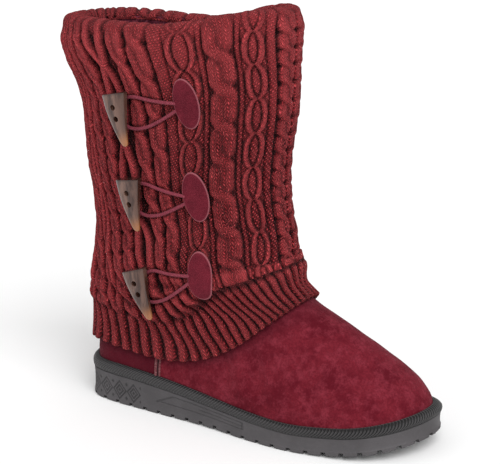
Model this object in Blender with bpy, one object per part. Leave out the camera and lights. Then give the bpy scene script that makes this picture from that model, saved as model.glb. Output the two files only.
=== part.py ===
"""Right boot: suede foot on a moulded sole, with a knitted cover over its shaft.

Metres, +Z up, toe along +X, the outer (lateral) side towards -Y.
The origin lies on the floor under the middle of the heel.
"""

import math

import bmesh
import bpy
from mathutils import Vector

# Sole
SOLE_LENGTH = 0.280
BALL_WIDTH = 0.1026
HEEL_WIDTH = 0.0752
HEEL_CENTRE = 0.036  # from the back of the sole to the origin
HEEL_WALL = 0.0215
FOREFOOT_WALL = 0.0123
WALL_TAPER_START = 0.12  # shares of the length between which the wall grows lower
WALL_TAPER_END = 0.72
TOE_SPRING = 0.0114
TOE_SPRING_START = 0.186  # from the back of the sole
ARCH_LIFT = 0.0012
ARCH_START = 0.084  # from the back of the sole
ARCH_END = 0.158
EDGE_CHAMFER = 0.0010
LUG_DEPTH = 0.0024
GROOVE_WIDTH = 0.0024
NOTCH_PITCH = 0.0131
LUG_LENGTH = 0.0085
WALL_RIBS = 3
WALL_RIB_HEIGHT = 0.0014
WALL_RIB_PROUD = 0.0007
WALL_RIB_LOW = 0.0062  # above the floor
WALL_RIB_START = 0.074  # from the back of the sole
WALL_RIB_STEP = 0.008
WALL_RIB_END = 0.148

# Foot and shaft
BINDING_HEIGHT = 0.0090  # at the heel
BINDING_TOE_HEIGHT = 0.0066
BINDING_PROUD = 0.0008
COLLAR_BACK_HEIGHT = 0.2820
COLLAR_FRONT_HEIGHT = 0.3015
ANKLE_DEPTH = 0.145
ANKLE_WIDTH = 0.066
COLLAR_DEPTH = 0.175
COLLAR_WIDTH = 0.072
UPPER_WALL = 0.0030
INSOLE_THICKNESS = 0.0050
SEAM_PLACE = 0.0740  # from the back of the sole
SEAM_WIDTH = 0.0036
SEAM_THICKNESS = 0.0012
SEAM_HEIGHT = 0.024
SEAM_LIFT = 0.0006

# Knitted cover
KNIT_THICKNESS = 0.0062
HEM_STAND_OFF = 0.0016
FOLD_OVERHANG = 0.0085
COLLAR_ROLL = 0.0068
COLLAR_CREST = 0.0040
FOLD_AT_BACK = 0.10  # share of the fold that is left at the back
FOLD_DROP = 0.075  # how much lower it hangs at the front, as a share of the cover's height
DROP_START = 0.55  # share of the way to the front at which it starts to hang lower
FOLD_START = 0.2  # shares of the way to the front between which the fold grows
FOLD_END = 0.9
ROLL_AT_FRONT = 0.10  # share of the roll that is left at the front
HEM_BACK_HEIGHT = 0.0400
HEM_FRONT_HEIGHT = 0.1020

# Fastenings
PATCH_WIDTH = 0.0195
PATCH_HEIGHT = 0.0360
PATCH_THICKNESS = 0.0016
PATCH_LIFT = 0.0009
CORD_DIAMETER = 0.0025
TOGGLE_LENGTH = 0.0388
TOGGLE_WIDTH = 0.0210
TOGGLE_THICKNESS = 0.0105
TOGGLE_BOW = 0.0015
TOGGLE_HOLE = 0.0036
PATCH_LEAN = math.radians(13)
LOOP_OPENING = 0.0235
LOOP_PAST_TOGGLE = 0.0040
LOOP_BELOW_PATCH = 0.0030  # how far below the patch's middle the cord leaves it
CORD_SPACING = 2.6  # diameters between the points of a cord

FIT_GAP = 0.0003

# How finely the forms are cut
FOOT_SIDES = 44  # of the sole, binding, insole and upper, whose edges lie against each other
SLEEVE_SIDES = 52
PATCH_SIDES = 16
TOGGLE_SIDES = 12
SEAM_STEPS = 4
RIB_STEPS = 6
HOLE_SIDES = 10
OUTLINE_STEPS = 1440
ROUTE_STEPS = 20
HEM_TRIES = 24
SPOT_TRIES = 12

# Plan of the sole: share of the length, half width and inward swing as shares of the named width.
OUTLINE = (
    (0.000, 0.000, 0.000, HEEL_WIDTH),
    (0.015, 0.240, 0.000, HEEL_WIDTH),
    (0.050, 0.400, 0.004, HEEL_WIDTH),
    (0.120, 0.482, 0.012, HEEL_WIDTH),
    (0.220, 0.500, 0.000, HEEL_WIDTH),
    (0.350, 0.366, -0.026, BALL_WIDTH),
    (0.470, 0.394, -0.034, BALL_WIDTH),
    (0.580, 0.457, -0.010, BALL_WIDTH),
    (0.680, 0.500, 0.016, BALL_WIDTH),
    (0.780, 0.494, 0.037, BALL_WIDTH),
    (0.870, 0.448, 0.040, BALL_WIDTH),
    (0.940, 0.340, 0.054, BALL_WIDTH),
    (0.985, 0.180, 0.078, BALL_WIDTH),
    (1.000, 0.000, 0.104, BALL_WIDTH),
)

# Sections of the upper, from its lower edge (0) to the collar (1). Back is a share of the sole's
# length. Length and width are shares of the sizes beside them. Widest is where along the section
# it is widest, round is the exponent of its curve, and plan is how much of the sole's own plan it keeps.
SECTIONS = (
    # height, back, length, of, width, of, widest, round, plan
    (0.000, 0.0155, 0.964, SOLE_LENGTH, 0.925, BALL_WIDTH, 0.60, 2.2, 1.00),
    (0.036, 0.0145, 0.962, SOLE_LENGTH, 0.925, BALL_WIDTH, 0.60, 2.2, 1.00),
    (0.060, 0.0135, 0.951, SOLE_LENGTH, 0.915, BALL_WIDTH, 0.60, 2.2, 1.00),
    (0.090, 0.0135, 0.930, SOLE_LENGTH, 0.860, BALL_WIDTH, 0.58, 2.2, 0.95),
    (0.130, 0.0140, 0.889, SOLE_LENGTH, 0.775, BALL_WIDTH, 0.55, 2.2, 0.80),
    (0.165, 0.0150, 0.845, SOLE_LENGTH, 0.720, BALL_WIDTH, 0.50, 2.2, 0.55),
    (0.200, 0.0165, 0.793, SOLE_LENGTH, 0.690, BALL_WIDTH, 0.46, 2.2, 0.32),
    (0.235, 0.0190, 0.735, SOLE_LENGTH, 0.670, BALL_WIDTH, 0.45, 2.1, 0.15),
    (0.270, 0.0225, 1.270, ANKLE_DEPTH, 1.020, ANKLE_WIDTH, 0.46, 2.1, 0.05),
    (0.310, 0.0270, 1.130, ANKLE_DEPTH, 1.010, ANKLE_WIDTH, 0.47, 2.1, 0.00),
    (0.370, 0.0350, 1.015, ANKLE_DEPTH, 1.000, ANKLE_WIDTH, 0.49, 2.1, 0.00),
    (0.450, 0.0380, 1.010, ANKLE_DEPTH, 1.000, ANKLE_WIDTH, 0.50, 2.1, 0.00),
    (0.600, 0.0190, 1.030, ANKLE_DEPTH, 1.020, ANKLE_WIDTH, 0.50, 2.1, 0.00),
    (0.800, 0.0020, 0.915, COLLAR_DEPTH, 0.960, COLLAR_WIDTH, 0.50, 2.1, 0.00),
    (0.920, -0.0280, 0.968, COLLAR_DEPTH, 0.990, COLLAR_WIDTH, 0.50, 2.1, 0.00),
    (1.000, -0.0450, 1.000, COLLAR_DEPTH, 1.000, COLLAR_WIDTH, 0.50, 2.1, 0.00),
)
UPPER_HEIGHTS = (0.0, 0.018, 0.036, 0.06, 0.085, 0.115, 0.15, 0.185, 0.22, 0.25, 0.28, 0.315, 0.36,
                 0.42, 0.52, 0.66, 0.80, 0.92, 1.0)

# Rows of the knitted cover, from the hem (0) to the collar (1): how far it stands off the upper,
# and its thickness, fold and roll, as shares of the named sizes.
SLEEVE_ROWS = (
    # height, stand-off, thickness, fold, roll
    (0.000, 1.00, 0.62, 0.00, 0.00),
    (0.045, 1.00, 0.75, 0.00, 0.00),
    (0.080, 1.00, 0.80, 0.00, 0.00),
    (0.110, 1.00, 0.85, 0.10, 0.00),
    (0.140, 1.00, 0.90, 0.85, 0.00),
    (0.170, 1.00, 1.00, 1.00, 0.00),
    (0.220, 1.00, 1.00, 0.65, 0.00),
    (0.290, 0.70, 1.00, 0.25, 0.00),
    (0.380, 0.40, 1.00, 0.00, 0.00),
    (0.500, 0.30, 1.00, 0.00, 0.00),
    (0.660, 0.30, 1.05, 0.00, 0.05),
    (0.800, 0.30, 1.05, 0.00, 0.25),
    (0.890, 0.30, 1.05, 0.00, 0.70),
    (0.955, 0.30, 1.00, 0.00, 1.00),
    (1.000, 0.30, 0.90, 0.00, 0.65),
)

# Collar and hem from the back to the front: share of the sole's length, share of their rise.
COLLAR_LINE = ((-0.05, 0.0), (0.06, 0.15), (0.20, 0.20), (0.30, 0.27), (0.40, 0.50), (0.50, 0.80),
               (0.62, 1.0))
HEM_LINE = ((-0.04, 0.00), (0.05, 0.10), (0.18, 0.08), (0.28, 0.07), (0.36, 0.11), (0.44, 0.23),
            (0.52, 0.43), (0.60, 0.72), (0.66, 0.93), (0.72, 1.0))

# The tape's section: share of its height, and share of the way from the upper to its proudest line.
BINDING_SECTION = ((0.00, 0.82), (0.25, 1.00), (0.62, 1.00), (0.88, 0.64), (1.00, 0.22))
BINDING_INNER_TOP = 0.94  # share of its height

# The seam's section: share of its width, share of its thickness.
SEAM_SECTION = ((-0.5, 0.0), (-0.4, 0.8), (0.0, 1.0), (0.4, 0.8), (0.5, 0.0))

# The patch's section, back to front: share of its size, share of its thickness.
PATCH_SECTION = ((0.4, 0.0), (0.75, 0.0), (1.0, 0.0), (1.0, 0.8), (0.94, 1.0), (0.5, 1.0))

# The toggle from its cut top to its tip: share of its length, of its width, and of its bow.
TOGGLE_ROWS = (
    (0.00, 1.00, 0.0),
    (0.28, 0.84, 0.5),
    (0.55, 0.62, 0.5),
    (0.80, 0.40, -0.1),
    (0.95, 0.26, -0.7),
    (1.00, 0.14, -1.0),
)
TOGGLE_HOLES = (0.25, 0.47)  # shares of its length

# A cord loop's route: share of the way from the patch to the toggle's far side, and how high it
# lies, as a share of the loop's opening.
LOOP_ROUTE = (
    (0.00, 0.11), (0.25, 0.24), (0.50, 0.40), (0.72, 0.56), (0.88, 0.58), (0.97, 0.42),
    (1.00, 0.14), (0.97, -0.14), (0.88, -0.32), (0.74, -0.42), (0.58, -0.44), (0.42, -0.40),
    (0.25, -0.30), (0.10, -0.19), (0.00, -0.11),
)

# Heights at which the cord passes behind the toggle, as shares of the loop's opening.
LOOP_CROSSINGS = (0.58, -0.32)

# The three fastenings: heights as shares of the collar's back height, and places from the back of
# the sole as shares of its length.
FASTENINGS = (
    # patch height, patch place, toggle height, toggle place, toggle lean in degrees
    (0.844, 0.383, 0.789, 0.202, 12),
    (0.608, 0.401, 0.571, 0.231, 8),
    (0.408, 0.425, 0.339, 0.259, 18),
)

MATERIALS = {
    # colour, roughness, metallic
    "sole_rubber": ((0.085, 0.085, 0.090, 1.0), 0.75, 0.0),
    "binding_fabric": ((0.035, 0.036, 0.037, 1.0), 0.90, 0.0),
    "insole_fleece": ((0.160, 0.050, 0.070, 1.0), 0.95, 0.0),
    "seam_tape": ((0.190, 0.110, 0.115, 1.0), 0.85, 0.0),
    "suede": ((0.160, 0.012, 0.026, 1.0), 0.90, 0.0),
    "knit_yarn": ((0.200, 0.022, 0.028, 1.0), 0.95, 0.0),
    "patch_suede": ((0.170, 0.015, 0.040, 1.0), 0.85, 0.0),
    "elastic_cord": ((0.300, 0.050, 0.090, 1.0), 0.80, 0.0),
    "toggle_horn": ((0.130, 0.095, 0.075, 1.0), 0.25, 0.0),
}


def between(rows, key, column, factor=None):
    """Reads a column of a table smoothly at key, times the size in column factor if there is one."""
    keys = [row[0] for row in rows]
    values = [row[column] * (row[factor] if factor else 1.0) for row in rows]
    last = len(keys) - 1
    key = min(max(key, keys[0]), keys[last])
    i = next(n for n in range(1, last + 1) if key <= keys[n]) - 1

    def slope(n):
        low, high = max(n - 1, 0), min(n + 1, last)
        return (values[high] - values[low]) / (keys[high] - keys[low])

    span = keys[i + 1] - keys[i]
    t = (key - keys[i]) / span
    rise = values[i] + (values[i + 1] - values[i]) * t * t * (3 - 2 * t)
    return rise + span * (slope(i) * t * (1 - t) ** 2 - slope(i + 1) * t * t * (1 - t))


def ramp(value, start, end):
    """0 before start, 1 past end, smooth between."""
    t = min(max((value - start) / (end - start), 0.0), 1.0)
    return t * t * (3 - 2 * t)


def turn_share(angle):
    """Share of a section's length at an angle: 0 at the back, 1 at the front."""
    return (1 - math.cos(angle)) / 2


# The plan is read against the angle, so that its round ends stay round.
OUTLINE_BY_ANGLE = tuple((math.acos(1 - 2 * row[0]),) + row[1:] for row in OUTLINE)


def plan_sides(angle):
    """Half width and inward swing of the sole's plan at an angle."""
    half_turn = math.acos(math.cos(angle))
    return between(OUTLINE_BY_ANGLE, half_turn, 1, 3), between(OUTLINE_BY_ANGLE, half_turn, 2, 3)


def side_of(angle):
    """-1 on the lateral side, 1 on the medial side."""
    return -1.0 if math.sin(angle) >= 0 else 1.0


def spring_height(place):
    """Rise of the toe, at a distance from the back of the sole."""
    return TOE_SPRING * (max(place - TOE_SPRING_START, 0.0) / (SOLE_LENGTH - TOE_SPRING_START)) ** 2


def tread_height(place):
    """Height of the sole's underside, raised a little under the arch and at the toe."""
    middle = (ARCH_START + ARCH_END) / 2
    arch = ramp(place, ARCH_START, middle) - ramp(place, middle, ARCH_END)
    return ARCH_LIFT * arch + spring_height(place)


def seat_height(place):
    """Height of the sole's top, where the upper stands."""
    share = ramp(place / SOLE_LENGTH, WALL_TAPER_START, WALL_TAPER_END)
    return spring_height(place) + HEEL_WALL + (FOREFOOT_WALL - HEEL_WALL) * share


def collar_height(place):
    """Height of the upper's top edge, at a distance from the back of the sole."""
    share = between(COLLAR_LINE, place / SOLE_LENGTH, 1)
    return COLLAR_BACK_HEIGHT + (COLLAR_FRONT_HEIGHT - COLLAR_BACK_HEIGHT) * share


def hem_height(place):
    """Height of the knitted hem, at a distance from the back of the sole."""
    share = between(HEM_LINE, place / SOLE_LENGTH, 1)
    return HEM_BACK_HEIGHT + (HEM_FRONT_HEIGHT - HEM_BACK_HEIGHT) * share


def outline_point(angle, out, height):
    """Point of the sole's outline, moved outwards by out, at a height."""
    step = 0.01
    points = []
    for turn in (angle - step, angle, angle + step):
        half, swing = plan_sides(turn)
        points.append(Vector((SOLE_LENGTH * turn_share(turn), swing + side_of(turn) * half, 0)))
    along = (points[2] - points[0]).normalized()
    outwards = Vector((along.y, -along.x, 0))
    place = points[1] + outwards * out
    return Vector((place.x - HEEL_CENTRE, place.y, height))


def section_point(height, angle):
    """Point of the upper's outside, at a share of its height and an angle round it."""
    back = between(SECTIONS, height, 1) * SOLE_LENGTH
    length = between(SECTIONS, height, 2, 3)
    width = between(SECTIONS, height, 4, 5)
    widest = between(SECTIONS, height, 6)
    round_power = between(SECTIONS, height, 7)
    plan = between(SECTIONS, height, 8)
    share = turn_share(angle)
    near = share / widest if share < widest else (1 - share) / (1 - widest)
    egg = (1 - (1 - near) ** round_power) ** (1 / round_power) * width / 2
    half, swing = plan_sides(angle)
    half *= width / BALL_WIDTH
    y = plan * swing + side_of(angle) * (plan * half + (1 - plan) * egg)
    place = back + share * length
    low = seat_height(place) + FIT_GAP
    z = low + height * (collar_height(place) - low)
    return Vector((place - HEEL_CENTRE, y, z))


def upper_point(height, angle, out=0.0):
    """Point off the upper's outside by out, along its outward direction."""
    step = 0.004
    point = section_point(height, angle)
    low, high = max(height - step, 0.0), min(height + step, 1.0)
    up = section_point(high, angle) - section_point(low, angle)
    along = section_point(height, angle + 0.02) - section_point(height, angle - 0.02)
    outwards = along.cross(up).normalized()
    if height <= 0.0 or height >= 1.0:
        outwards = Vector((outwards.x, outwards.y, 0)).normalized()
    return point + outwards * out


def angles(count):
    return [2 * math.pi * n / count for n in range(count)]


def material(name):
    colour, roughness, metallic = MATERIALS[name]
    made = bpy.data.materials.new(name)
    made.use_nodes = True
    shader = made.node_tree.nodes["Principled BSDF"]
    shader.inputs["Base Color"].default_value = colour
    shader.inputs["Roughness"].default_value = roughness
    shader.inputs["Metallic"].default_value = metallic
    made.diffuse_color = colour
    return made


def add_object(name, data, finish):
    made = bpy.data.objects.new(name, data)
    bpy.context.scene.collection.objects.link(made)
    data.materials.append(finish)
    return made


def object_from(name, bm, finish, sharp=40):
    """Closes a bmesh into an object with smooth shading and its normals facing out."""
    bmesh.ops.recalc_face_normals(bm, faces=bm.faces)
    mesh = bpy.data.meshes.new(name)
    bm.to_mesh(mesh)
    bm.free()
    made = add_object(name, mesh, finish)
    mesh.shade_smooth()
    mesh.set_sharp_from_angle(angle=math.radians(sharp))
    return made


def add_ring(bm, points):
    """A closed loop of edges through the points."""
    verts = [bm.verts.new(point) for point in points]
    for n, vert in enumerate(verts):
        bm.edges.new((vert, verts[(n + 1) % len(verts)]))
    return verts


def ring_edges(verts):
    ring = set(verts)
    return [edge for edge in {e for v in verts for e in v.link_edges} if set(edge.verts) <= ring]


def extrude_ring(bm, verts, points):
    """Extrudes a loop to the next loop's points, and gives the new loop in the same order."""
    bmesh.ops.extrude_edge_only(bm, edges=ring_edges(verts))
    old = set(verts)
    made = []
    for vert, point in zip(verts, points):
        fresh = [e.other_vert(vert) for e in vert.link_edges if e.other_vert(vert) not in old]
        fresh = [v for v in fresh if not v.tag]
        made.append(fresh[0])
        fresh[0].co = point
    for vert in verts:
        vert.tag = True
    return made


def hollow_solid(name, rings, finish, sharp=40):
    """A wall that goes up through the rings and comes back to the first."""
    bm = bmesh.new()
    verts = add_ring(bm, rings[0])
    for ring in rings[1:] + rings[:1]:
        verts = extrude_ring(bm, verts, ring)
    bmesh.ops.remove_doubles(bm, verts=bm.verts, dist=1e-6)
    return object_from(name, bm, finish, sharp)


def capped_solid(name, rings, finish, sharp=40):
    """A block through the rings, with its ends closed by strips from side to side."""
    bm = bmesh.new()
    first = add_ring(bm, rings[0])
    verts = first
    for ring in rings[1:]:
        verts = extrude_ring(bm, verts, ring)
    count = len(first)
    for ring in (first, verts):
        for n in range(count // 2):
            corners = [ring[n], ring[n + 1], ring[-n - 1], ring[(-n) % count]]
            bm.faces.new(list(dict.fromkeys(corners)))
    return object_from(name, bm, finish, sharp)


def cutter_object(name, bm):
    made = object_from(name, bm, bpy.data.materials["sole_rubber"])
    made.hide_render = True
    made.display_type = "WIRE"
    return made


def boolean(target, name, other, operation):
    modifier = target.modifiers.new(name, "BOOLEAN")
    modifier.operation = operation
    modifier.solver = "EXACT"
    modifier.object = other


def add_box(bm, centre, along, size):
    """A box whose first side points along a level direction."""
    made = bmesh.ops.create_cube(bm, size=1.0)["verts"]
    level = Vector((along.x, along.y, 0))
    turn = Vector((1, 0, 0)).rotation_difference(level).to_matrix()
    bmesh.ops.scale(bm, vec=size, verts=made)
    bmesh.ops.rotate(bm, verts=made, matrix=turn, cent=(0, 0, 0))
    bmesh.ops.translate(bm, verts=made, vec=centre)


def outline_walk(pitch):
    """Angles that lie a pitch apart along the sole's edge, all the way round."""
    turns = angles(OUTLINE_STEPS)
    points = [outline_point(turn, 0.0, 0.0) for turn in turns]
    lengths = [(points[(n + 1) % OUTLINE_STEPS] - points[n]).length for n in range(OUTLINE_STEPS)]
    count = round(sum(lengths) / pitch)
    step = sum(lengths) / count
    found, gone, wanted = [], 0.0, step / 2
    for turn, length in zip(turns, lengths):
        gone += length
        if gone >= wanted:
            found.append(turn)
            wanted += step
    return found


def angle_at(place):
    """Angle on the lateral side at which the sole's plan is a distance from its back."""
    return math.acos(1 - 2 * place / SOLE_LENGTH)


def edge_channel():
    """Channel in the underside that parts the edge lugs from the middle."""
    turns = angles(FOOT_SIDES)
    lows = [tread_height(SOLE_LENGTH * turn_share(turn)) for turn in turns]
    inside = LUG_LENGTH + GROOVE_WIDTH
    corners = ((LUG_LENGTH, -1), (LUG_LENGTH, 1), (inside, 1), (inside, -1))
    bm = bmesh.new()
    verts = None
    for inwards, rise in corners + corners[:1]:
        ring = [outline_point(t, -inwards, low + rise * LUG_DEPTH) for t, low in zip(turns, lows)]
        verts = extrude_ring(bm, verts, ring) if verts else add_ring(bm, ring)
    bmesh.ops.remove_doubles(bm, verts=bm.verts, dist=1e-6)
    return cutter_object("edge_channel_cutter", bm)


def edge_notches():
    """Gaps between the edge lugs, open at the side of the sole."""
    bm = bmesh.new()
    reach = LUG_LENGTH + GROOVE_WIDTH / 2
    for turn in outline_walk(NOTCH_PITCH):
        inner = outline_point(turn, -reach, 0.0)
        outer = outline_point(turn, reach, 0.0)
        low = tread_height(SOLE_LENGTH * turn_share(turn))
        centre = (inner + outer) / 2 + Vector((0, 0, low))
        add_box(bm, centre, outer - inner, (2 * reach, GROOVE_WIDTH, 2 * LUG_DEPTH))
    return cutter_object("notch_cutter", bm)


def wall_ribs():
    """Ribs along the outer side of the waist, one above the other, each longer than the last."""
    bm = bmesh.new()
    for row in range(WALL_RIBS):
        start = WALL_RIB_START + row * WALL_RIB_STEP
        steps = range(RIB_STEPS + 1)
        turns = [angle_at(start + (WALL_RIB_END - start) * n / RIB_STEPS) for n in steps]
        low = WALL_RIB_LOW + row * 2 * WALL_RIB_HEIGHT
        verts = None
        first = None
        for turn in turns:
            ring = [outline_point(turn, -WALL_RIB_PROUD, low),
                    outline_point(turn, EDGE_CHAMFER / 2 + WALL_RIB_PROUD, low),
                    outline_point(turn, EDGE_CHAMFER / 2 + WALL_RIB_PROUD, low + WALL_RIB_HEIGHT),
                    outline_point(turn, -WALL_RIB_PROUD, low + WALL_RIB_HEIGHT)]
            verts = extrude_ring(bm, verts, ring) if verts else add_ring(bm, ring)
            first = first or verts
        bm.faces.new(first)
        bm.faces.new(verts)
    return cutter_object("wall_rib_form", bm)


def sole():
    """Outsole with its edge lugs and the ribs of its outer wall."""
    rubber = material("sole_rubber")
    turns = angles(FOOT_SIDES)
    places = [SOLE_LENGTH * turn_share(turn) for turn in turns]
    treads = [tread_height(place) for place in places]
    seats = [seat_height(place) for place in places]
    rings = (
        [outline_point(t, -EDGE_CHAMFER, low) for t, low in zip(turns, treads)],
        [outline_point(t, EDGE_CHAMFER / 2, low + EDGE_CHAMFER) for t, low in zip(turns, treads)],
        [outline_point(t, 0.0, high - EDGE_CHAMFER) for t, high in zip(turns, seats)],
        [outline_point(t, -EDGE_CHAMFER, high) for t, high in zip(turns, seats)],
    )
    block = capped_solid("outsole", rings, rubber, 30)
    boolean(block, "wall ribs", wall_ribs(), "UNION")
    boolean(block, "edge channel", edge_channel(), "DIFFERENCE")
    boolean(block, "edge notches", edge_notches(), "DIFFERENCE")


def share_above_seat(place, rise):
    """Share of the upper's height that lies a rise above the top of the sole."""
    low = seat_height(place) + FIT_GAP
    return rise / (collar_height(place) - low)


def binding_height(place):
    """Height of the tape above the top of the sole, lower towards the toe."""
    share = ramp(place / SOLE_LENGTH, WALL_TAPER_START, WALL_TAPER_END)
    return BINDING_HEIGHT + (BINDING_TOE_HEIGHT - BINDING_HEIGHT) * share


def binding():
    """Fabric tape rolled round the foot of the upper, on the edge of the sole."""
    turns = angles(FOOT_SIDES)
    places = [SOLE_LENGTH * turn_share(turn) for turn in turns]
    bases = [seat_height(place) + FIT_GAP for place in places]
    rings = []
    inner_rows = [(share, 0.0) for share in (BINDING_INNER_TOP, BINDING_INNER_TOP / 2, 0.0)]
    for share, way in BINDING_SECTION + tuple(inner_rows):
        ring = []
        for turn, place, base in zip(turns, places, bases):
            rise = share * binding_height(place)
            inner = upper_point(share_above_seat(place, rise), turn, FIT_GAP)
            outer = outline_point(turn, BINDING_PROUD, base + rise)
            point = inner.lerp(outer, way)
            point.z = outer.z if way > 0.0 else inner.z
            ring.append(point)
        rings.append(ring)
    hollow_solid("binding", rings, material("binding_fabric"), 50)


def insole():
    turns = angles(FOOT_SIDES)
    inwards = -(UPPER_WALL + FIT_GAP)
    rings = []
    for rise in (0.0, INSOLE_THICKNESS):
        ring = []
        for turn in turns:
            share = share_above_seat(SOLE_LENGTH * turn_share(turn), rise)
            ring.append(upper_point(share, turn, inwards))
        rings.append(ring)
    capped_solid("insole", rings, material("insole_fleece"))


def upper():
    """Suede foot and inner shaft, one wall, open at the collar and underneath."""
    turns = angles(FOOT_SIDES)
    outside = [[upper_point(h, t) for t in turns] for h in UPPER_HEIGHTS]
    inside = [[upper_point(h, t, -UPPER_WALL) for t in turns] for h in reversed(UPPER_HEIGHTS)]
    hollow_solid("upper", outside + inside, material("suede"), 60)


def upper_angle_at(height, place, side):
    """Angle at which the upper's section is a distance from the back of the sole."""
    back = between(SECTIONS, height, 1) * SOLE_LENGTH
    length = between(SECTIONS, height, 2, 3)
    return -side * math.acos(1 - 2 * (place - back) / length)


def side_seam(name, side, finish):
    """Raised bound seam between vamp and counter, from the binding up under the hem."""
    bm = bmesh.new()
    verts = None
    rings = []
    lift = binding_height(SEAM_PLACE) + FIT_GAP
    for n in range(SEAM_STEPS + 1):
        height = share_above_seat(SEAM_PLACE, lift + SEAM_HEIGHT * n / SEAM_STEPS)
        ring = []
        for along, out in SEAM_SECTION:
            turn = upper_angle_at(height, SEAM_PLACE + along * SEAM_WIDTH, side)
            ring.append(upper_point(height, turn, SEAM_LIFT + out * SEAM_THICKNESS))
        rings.append(ring)
    for ring in rings:
        verts = extrude_ring(bm, verts, ring) if verts else add_ring(bm, ring)
        if ring is rings[0]:
            bm.faces.new(verts)
    bm.faces.new(verts)
    object_from(name, bm, finish)


def hem_share(angle):
    """Share of the upper's height at which the knitted hem ends."""
    low, high = 0.03, 0.60
    for _ in range(HEM_TRIES):
        middle = (low + high) / 2
        point = section_point(middle, angle)
        if point.z < hem_height(point.x + HEEL_CENTRE):
            low = middle
        else:
            high = middle
    return low


HEM_SHARES = {}


def sleeve_point(rise, angle, outer, out=0.0):
    """Point on the inside or outside of the knitted cover, from its hem (0) to the collar (1)."""
    if angle not in HEM_SHARES:
        HEM_SHARES[angle] = hem_share(angle)
    hem = HEM_SHARES[angle]
    stand = FIT_GAP + between(SLEEVE_ROWS, rise, 1) * HEM_STAND_OFF
    if outer:
        share = turn_share(angle)
        stand += between(SLEEVE_ROWS, rise, 2) * KNIT_THICKNESS
        drop = FOLD_DROP * ramp(share, DROP_START, 1.0)
        grown = FOLD_AT_BACK + (1 - FOLD_AT_BACK) * ramp(share, FOLD_START, FOLD_END)
        stand += between(SLEEVE_ROWS, rise + drop, 3) * FOLD_OVERHANG * grown
        stand += between(SLEEVE_ROWS, rise, 4) * COLLAR_ROLL * (1 - (1 - ROLL_AT_FRONT) * share)
    return upper_point(hem + (1 - hem) * rise, angle, stand + out)


def knit_sleeve():
    """Knitted cover of the shaft: ribbed hem, fold above it and rolled collar."""
    turns = angles(SLEEVE_SIDES)
    rises = [row[0] for row in SLEEVE_ROWS]
    outside = [[sleeve_point(rise, t, True) for t in turns] for rise in rises]
    inside = [[sleeve_point(rise, t, False) for t in turns] for rise in reversed(rises)]
    crest = [(a + b) / 2 + Vector((0, 0, COLLAR_CREST)) for a, b in zip(outside[-1], inside[0])]
    hollow_solid("knit_sleeve", outside + [crest] + inside, material("knit_yarn"), 60)


def sleeve_spot(place, height, out):
    """Point off the knit's lateral side, at a distance from the back of the sole and a height."""
    share = place / COLLAR_DEPTH
    rise = (height - HEM_BACK_HEIGHT) / (COLLAR_BACK_HEIGHT - HEM_BACK_HEIGHT)
    for _ in range(SPOT_TRIES):
        share = min(max(share, 0.01), 0.99)
        rise = min(max(rise, 0.0), 1.0)
        angle = math.acos(1 - 2 * share)
        point = sleeve_point(rise, angle, True)
        share += (place - HEEL_CENTRE - point.x) / COLLAR_DEPTH
        rise += (height - point.z) / COLLAR_BACK_HEIGHT
    return sleeve_point(rise, math.acos(1 - 2 * share), True, out)


def leaned(along, up, lean):
    """Turns a level and an upright distance by an angle, tops towards the back."""
    return (along * math.cos(lean) - up * math.sin(lean), along * math.sin(lean) + up * math.cos(lean))


def patch(name, place, height, finish):
    """Oval suede patch that follows the knit."""
    rings = []
    for size, out in PATCH_SECTION:
        ring = []
        for turn in angles(PATCH_SIDES):
            along, up = leaned(size * PATCH_WIDTH / 2 * math.cos(turn),
                               size * PATCH_HEIGHT / 2 * math.sin(turn), PATCH_LEAN)
            ring.append(sleeve_spot(place + along, height + up, PATCH_LIFT + out * PATCH_THICKNESS))
        rings.append(ring)
    bm = bmesh.new()
    verts = add_ring(bm, rings[0])
    bm.faces.new(verts)
    for ring in rings[1:]:
        verts = extrude_ring(bm, verts, ring)
    bm.faces.new(verts)
    object_from(name, bm, finish)


def smooth_route(points, spacing):
    """Points at a spacing along a smooth curve through the given ones."""
    fine = []
    last = len(points) - 1
    for n in range(last):
        a, b, c, d = points[max(n - 1, 0)], points[n], points[n + 1], points[min(n + 2, last)]
        for step in range(ROUTE_STEPS):
            t = step / ROUTE_STEPS
            fine.append(0.5 * (2 * b + (c - a) * t + (2 * a - 5 * b + 4 * c - d) * t * t
                               + (3 * b - a - 3 * c + d) * t ** 3))
    fine.append(points[last])
    length = sum((q - p).length for p, q in zip(fine, fine[1:]))
    count = round(length / spacing)
    step = length / count
    found, gone = [fine[0]], 0.0
    for p, q in zip(fine, fine[1:]):
        gone += (q - p).length
        if gone >= step * len(found) and len(found) < count:
            found.append(q)
    return found + [fine[-1]]


def loop(name, patch_place, patch_height, toggle_place, toggle_height, finish):
    """Elastic cord from the patch's edge round behind the toggle and back."""
    start = patch_place - PATCH_WIDTH / 2 - 2 * FIT_GAP
    far = toggle_place - LOOP_PAST_TOGGLE
    points = []
    for way, rise in LOOP_ROUTE:
        leave = patch_height - LOOP_BELOW_PATCH
        height = leave + (toggle_height - leave) * way + rise * LOOP_OPENING
        place = start + (far - start) * way
        points.append(sleeve_spot(place, height, FIT_GAP + CORD_DIAMETER / 2))
    route = smooth_route(points, CORD_SPACING * CORD_DIAMETER)
    curve = bpy.data.curves.new(name, "CURVE")
    curve.dimensions = "3D"
    curve.bevel_depth = CORD_DIAMETER / 2
    curve.bevel_resolution = 2
    curve.use_fill_caps = True
    spline = curve.splines.new("POLY")
    spline.points.add(len(route) - 1)
    for spot, point in zip(spline.points, route):
        spot.co = (*point, 1.0)
    add_object(name, curve, finish)


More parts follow.
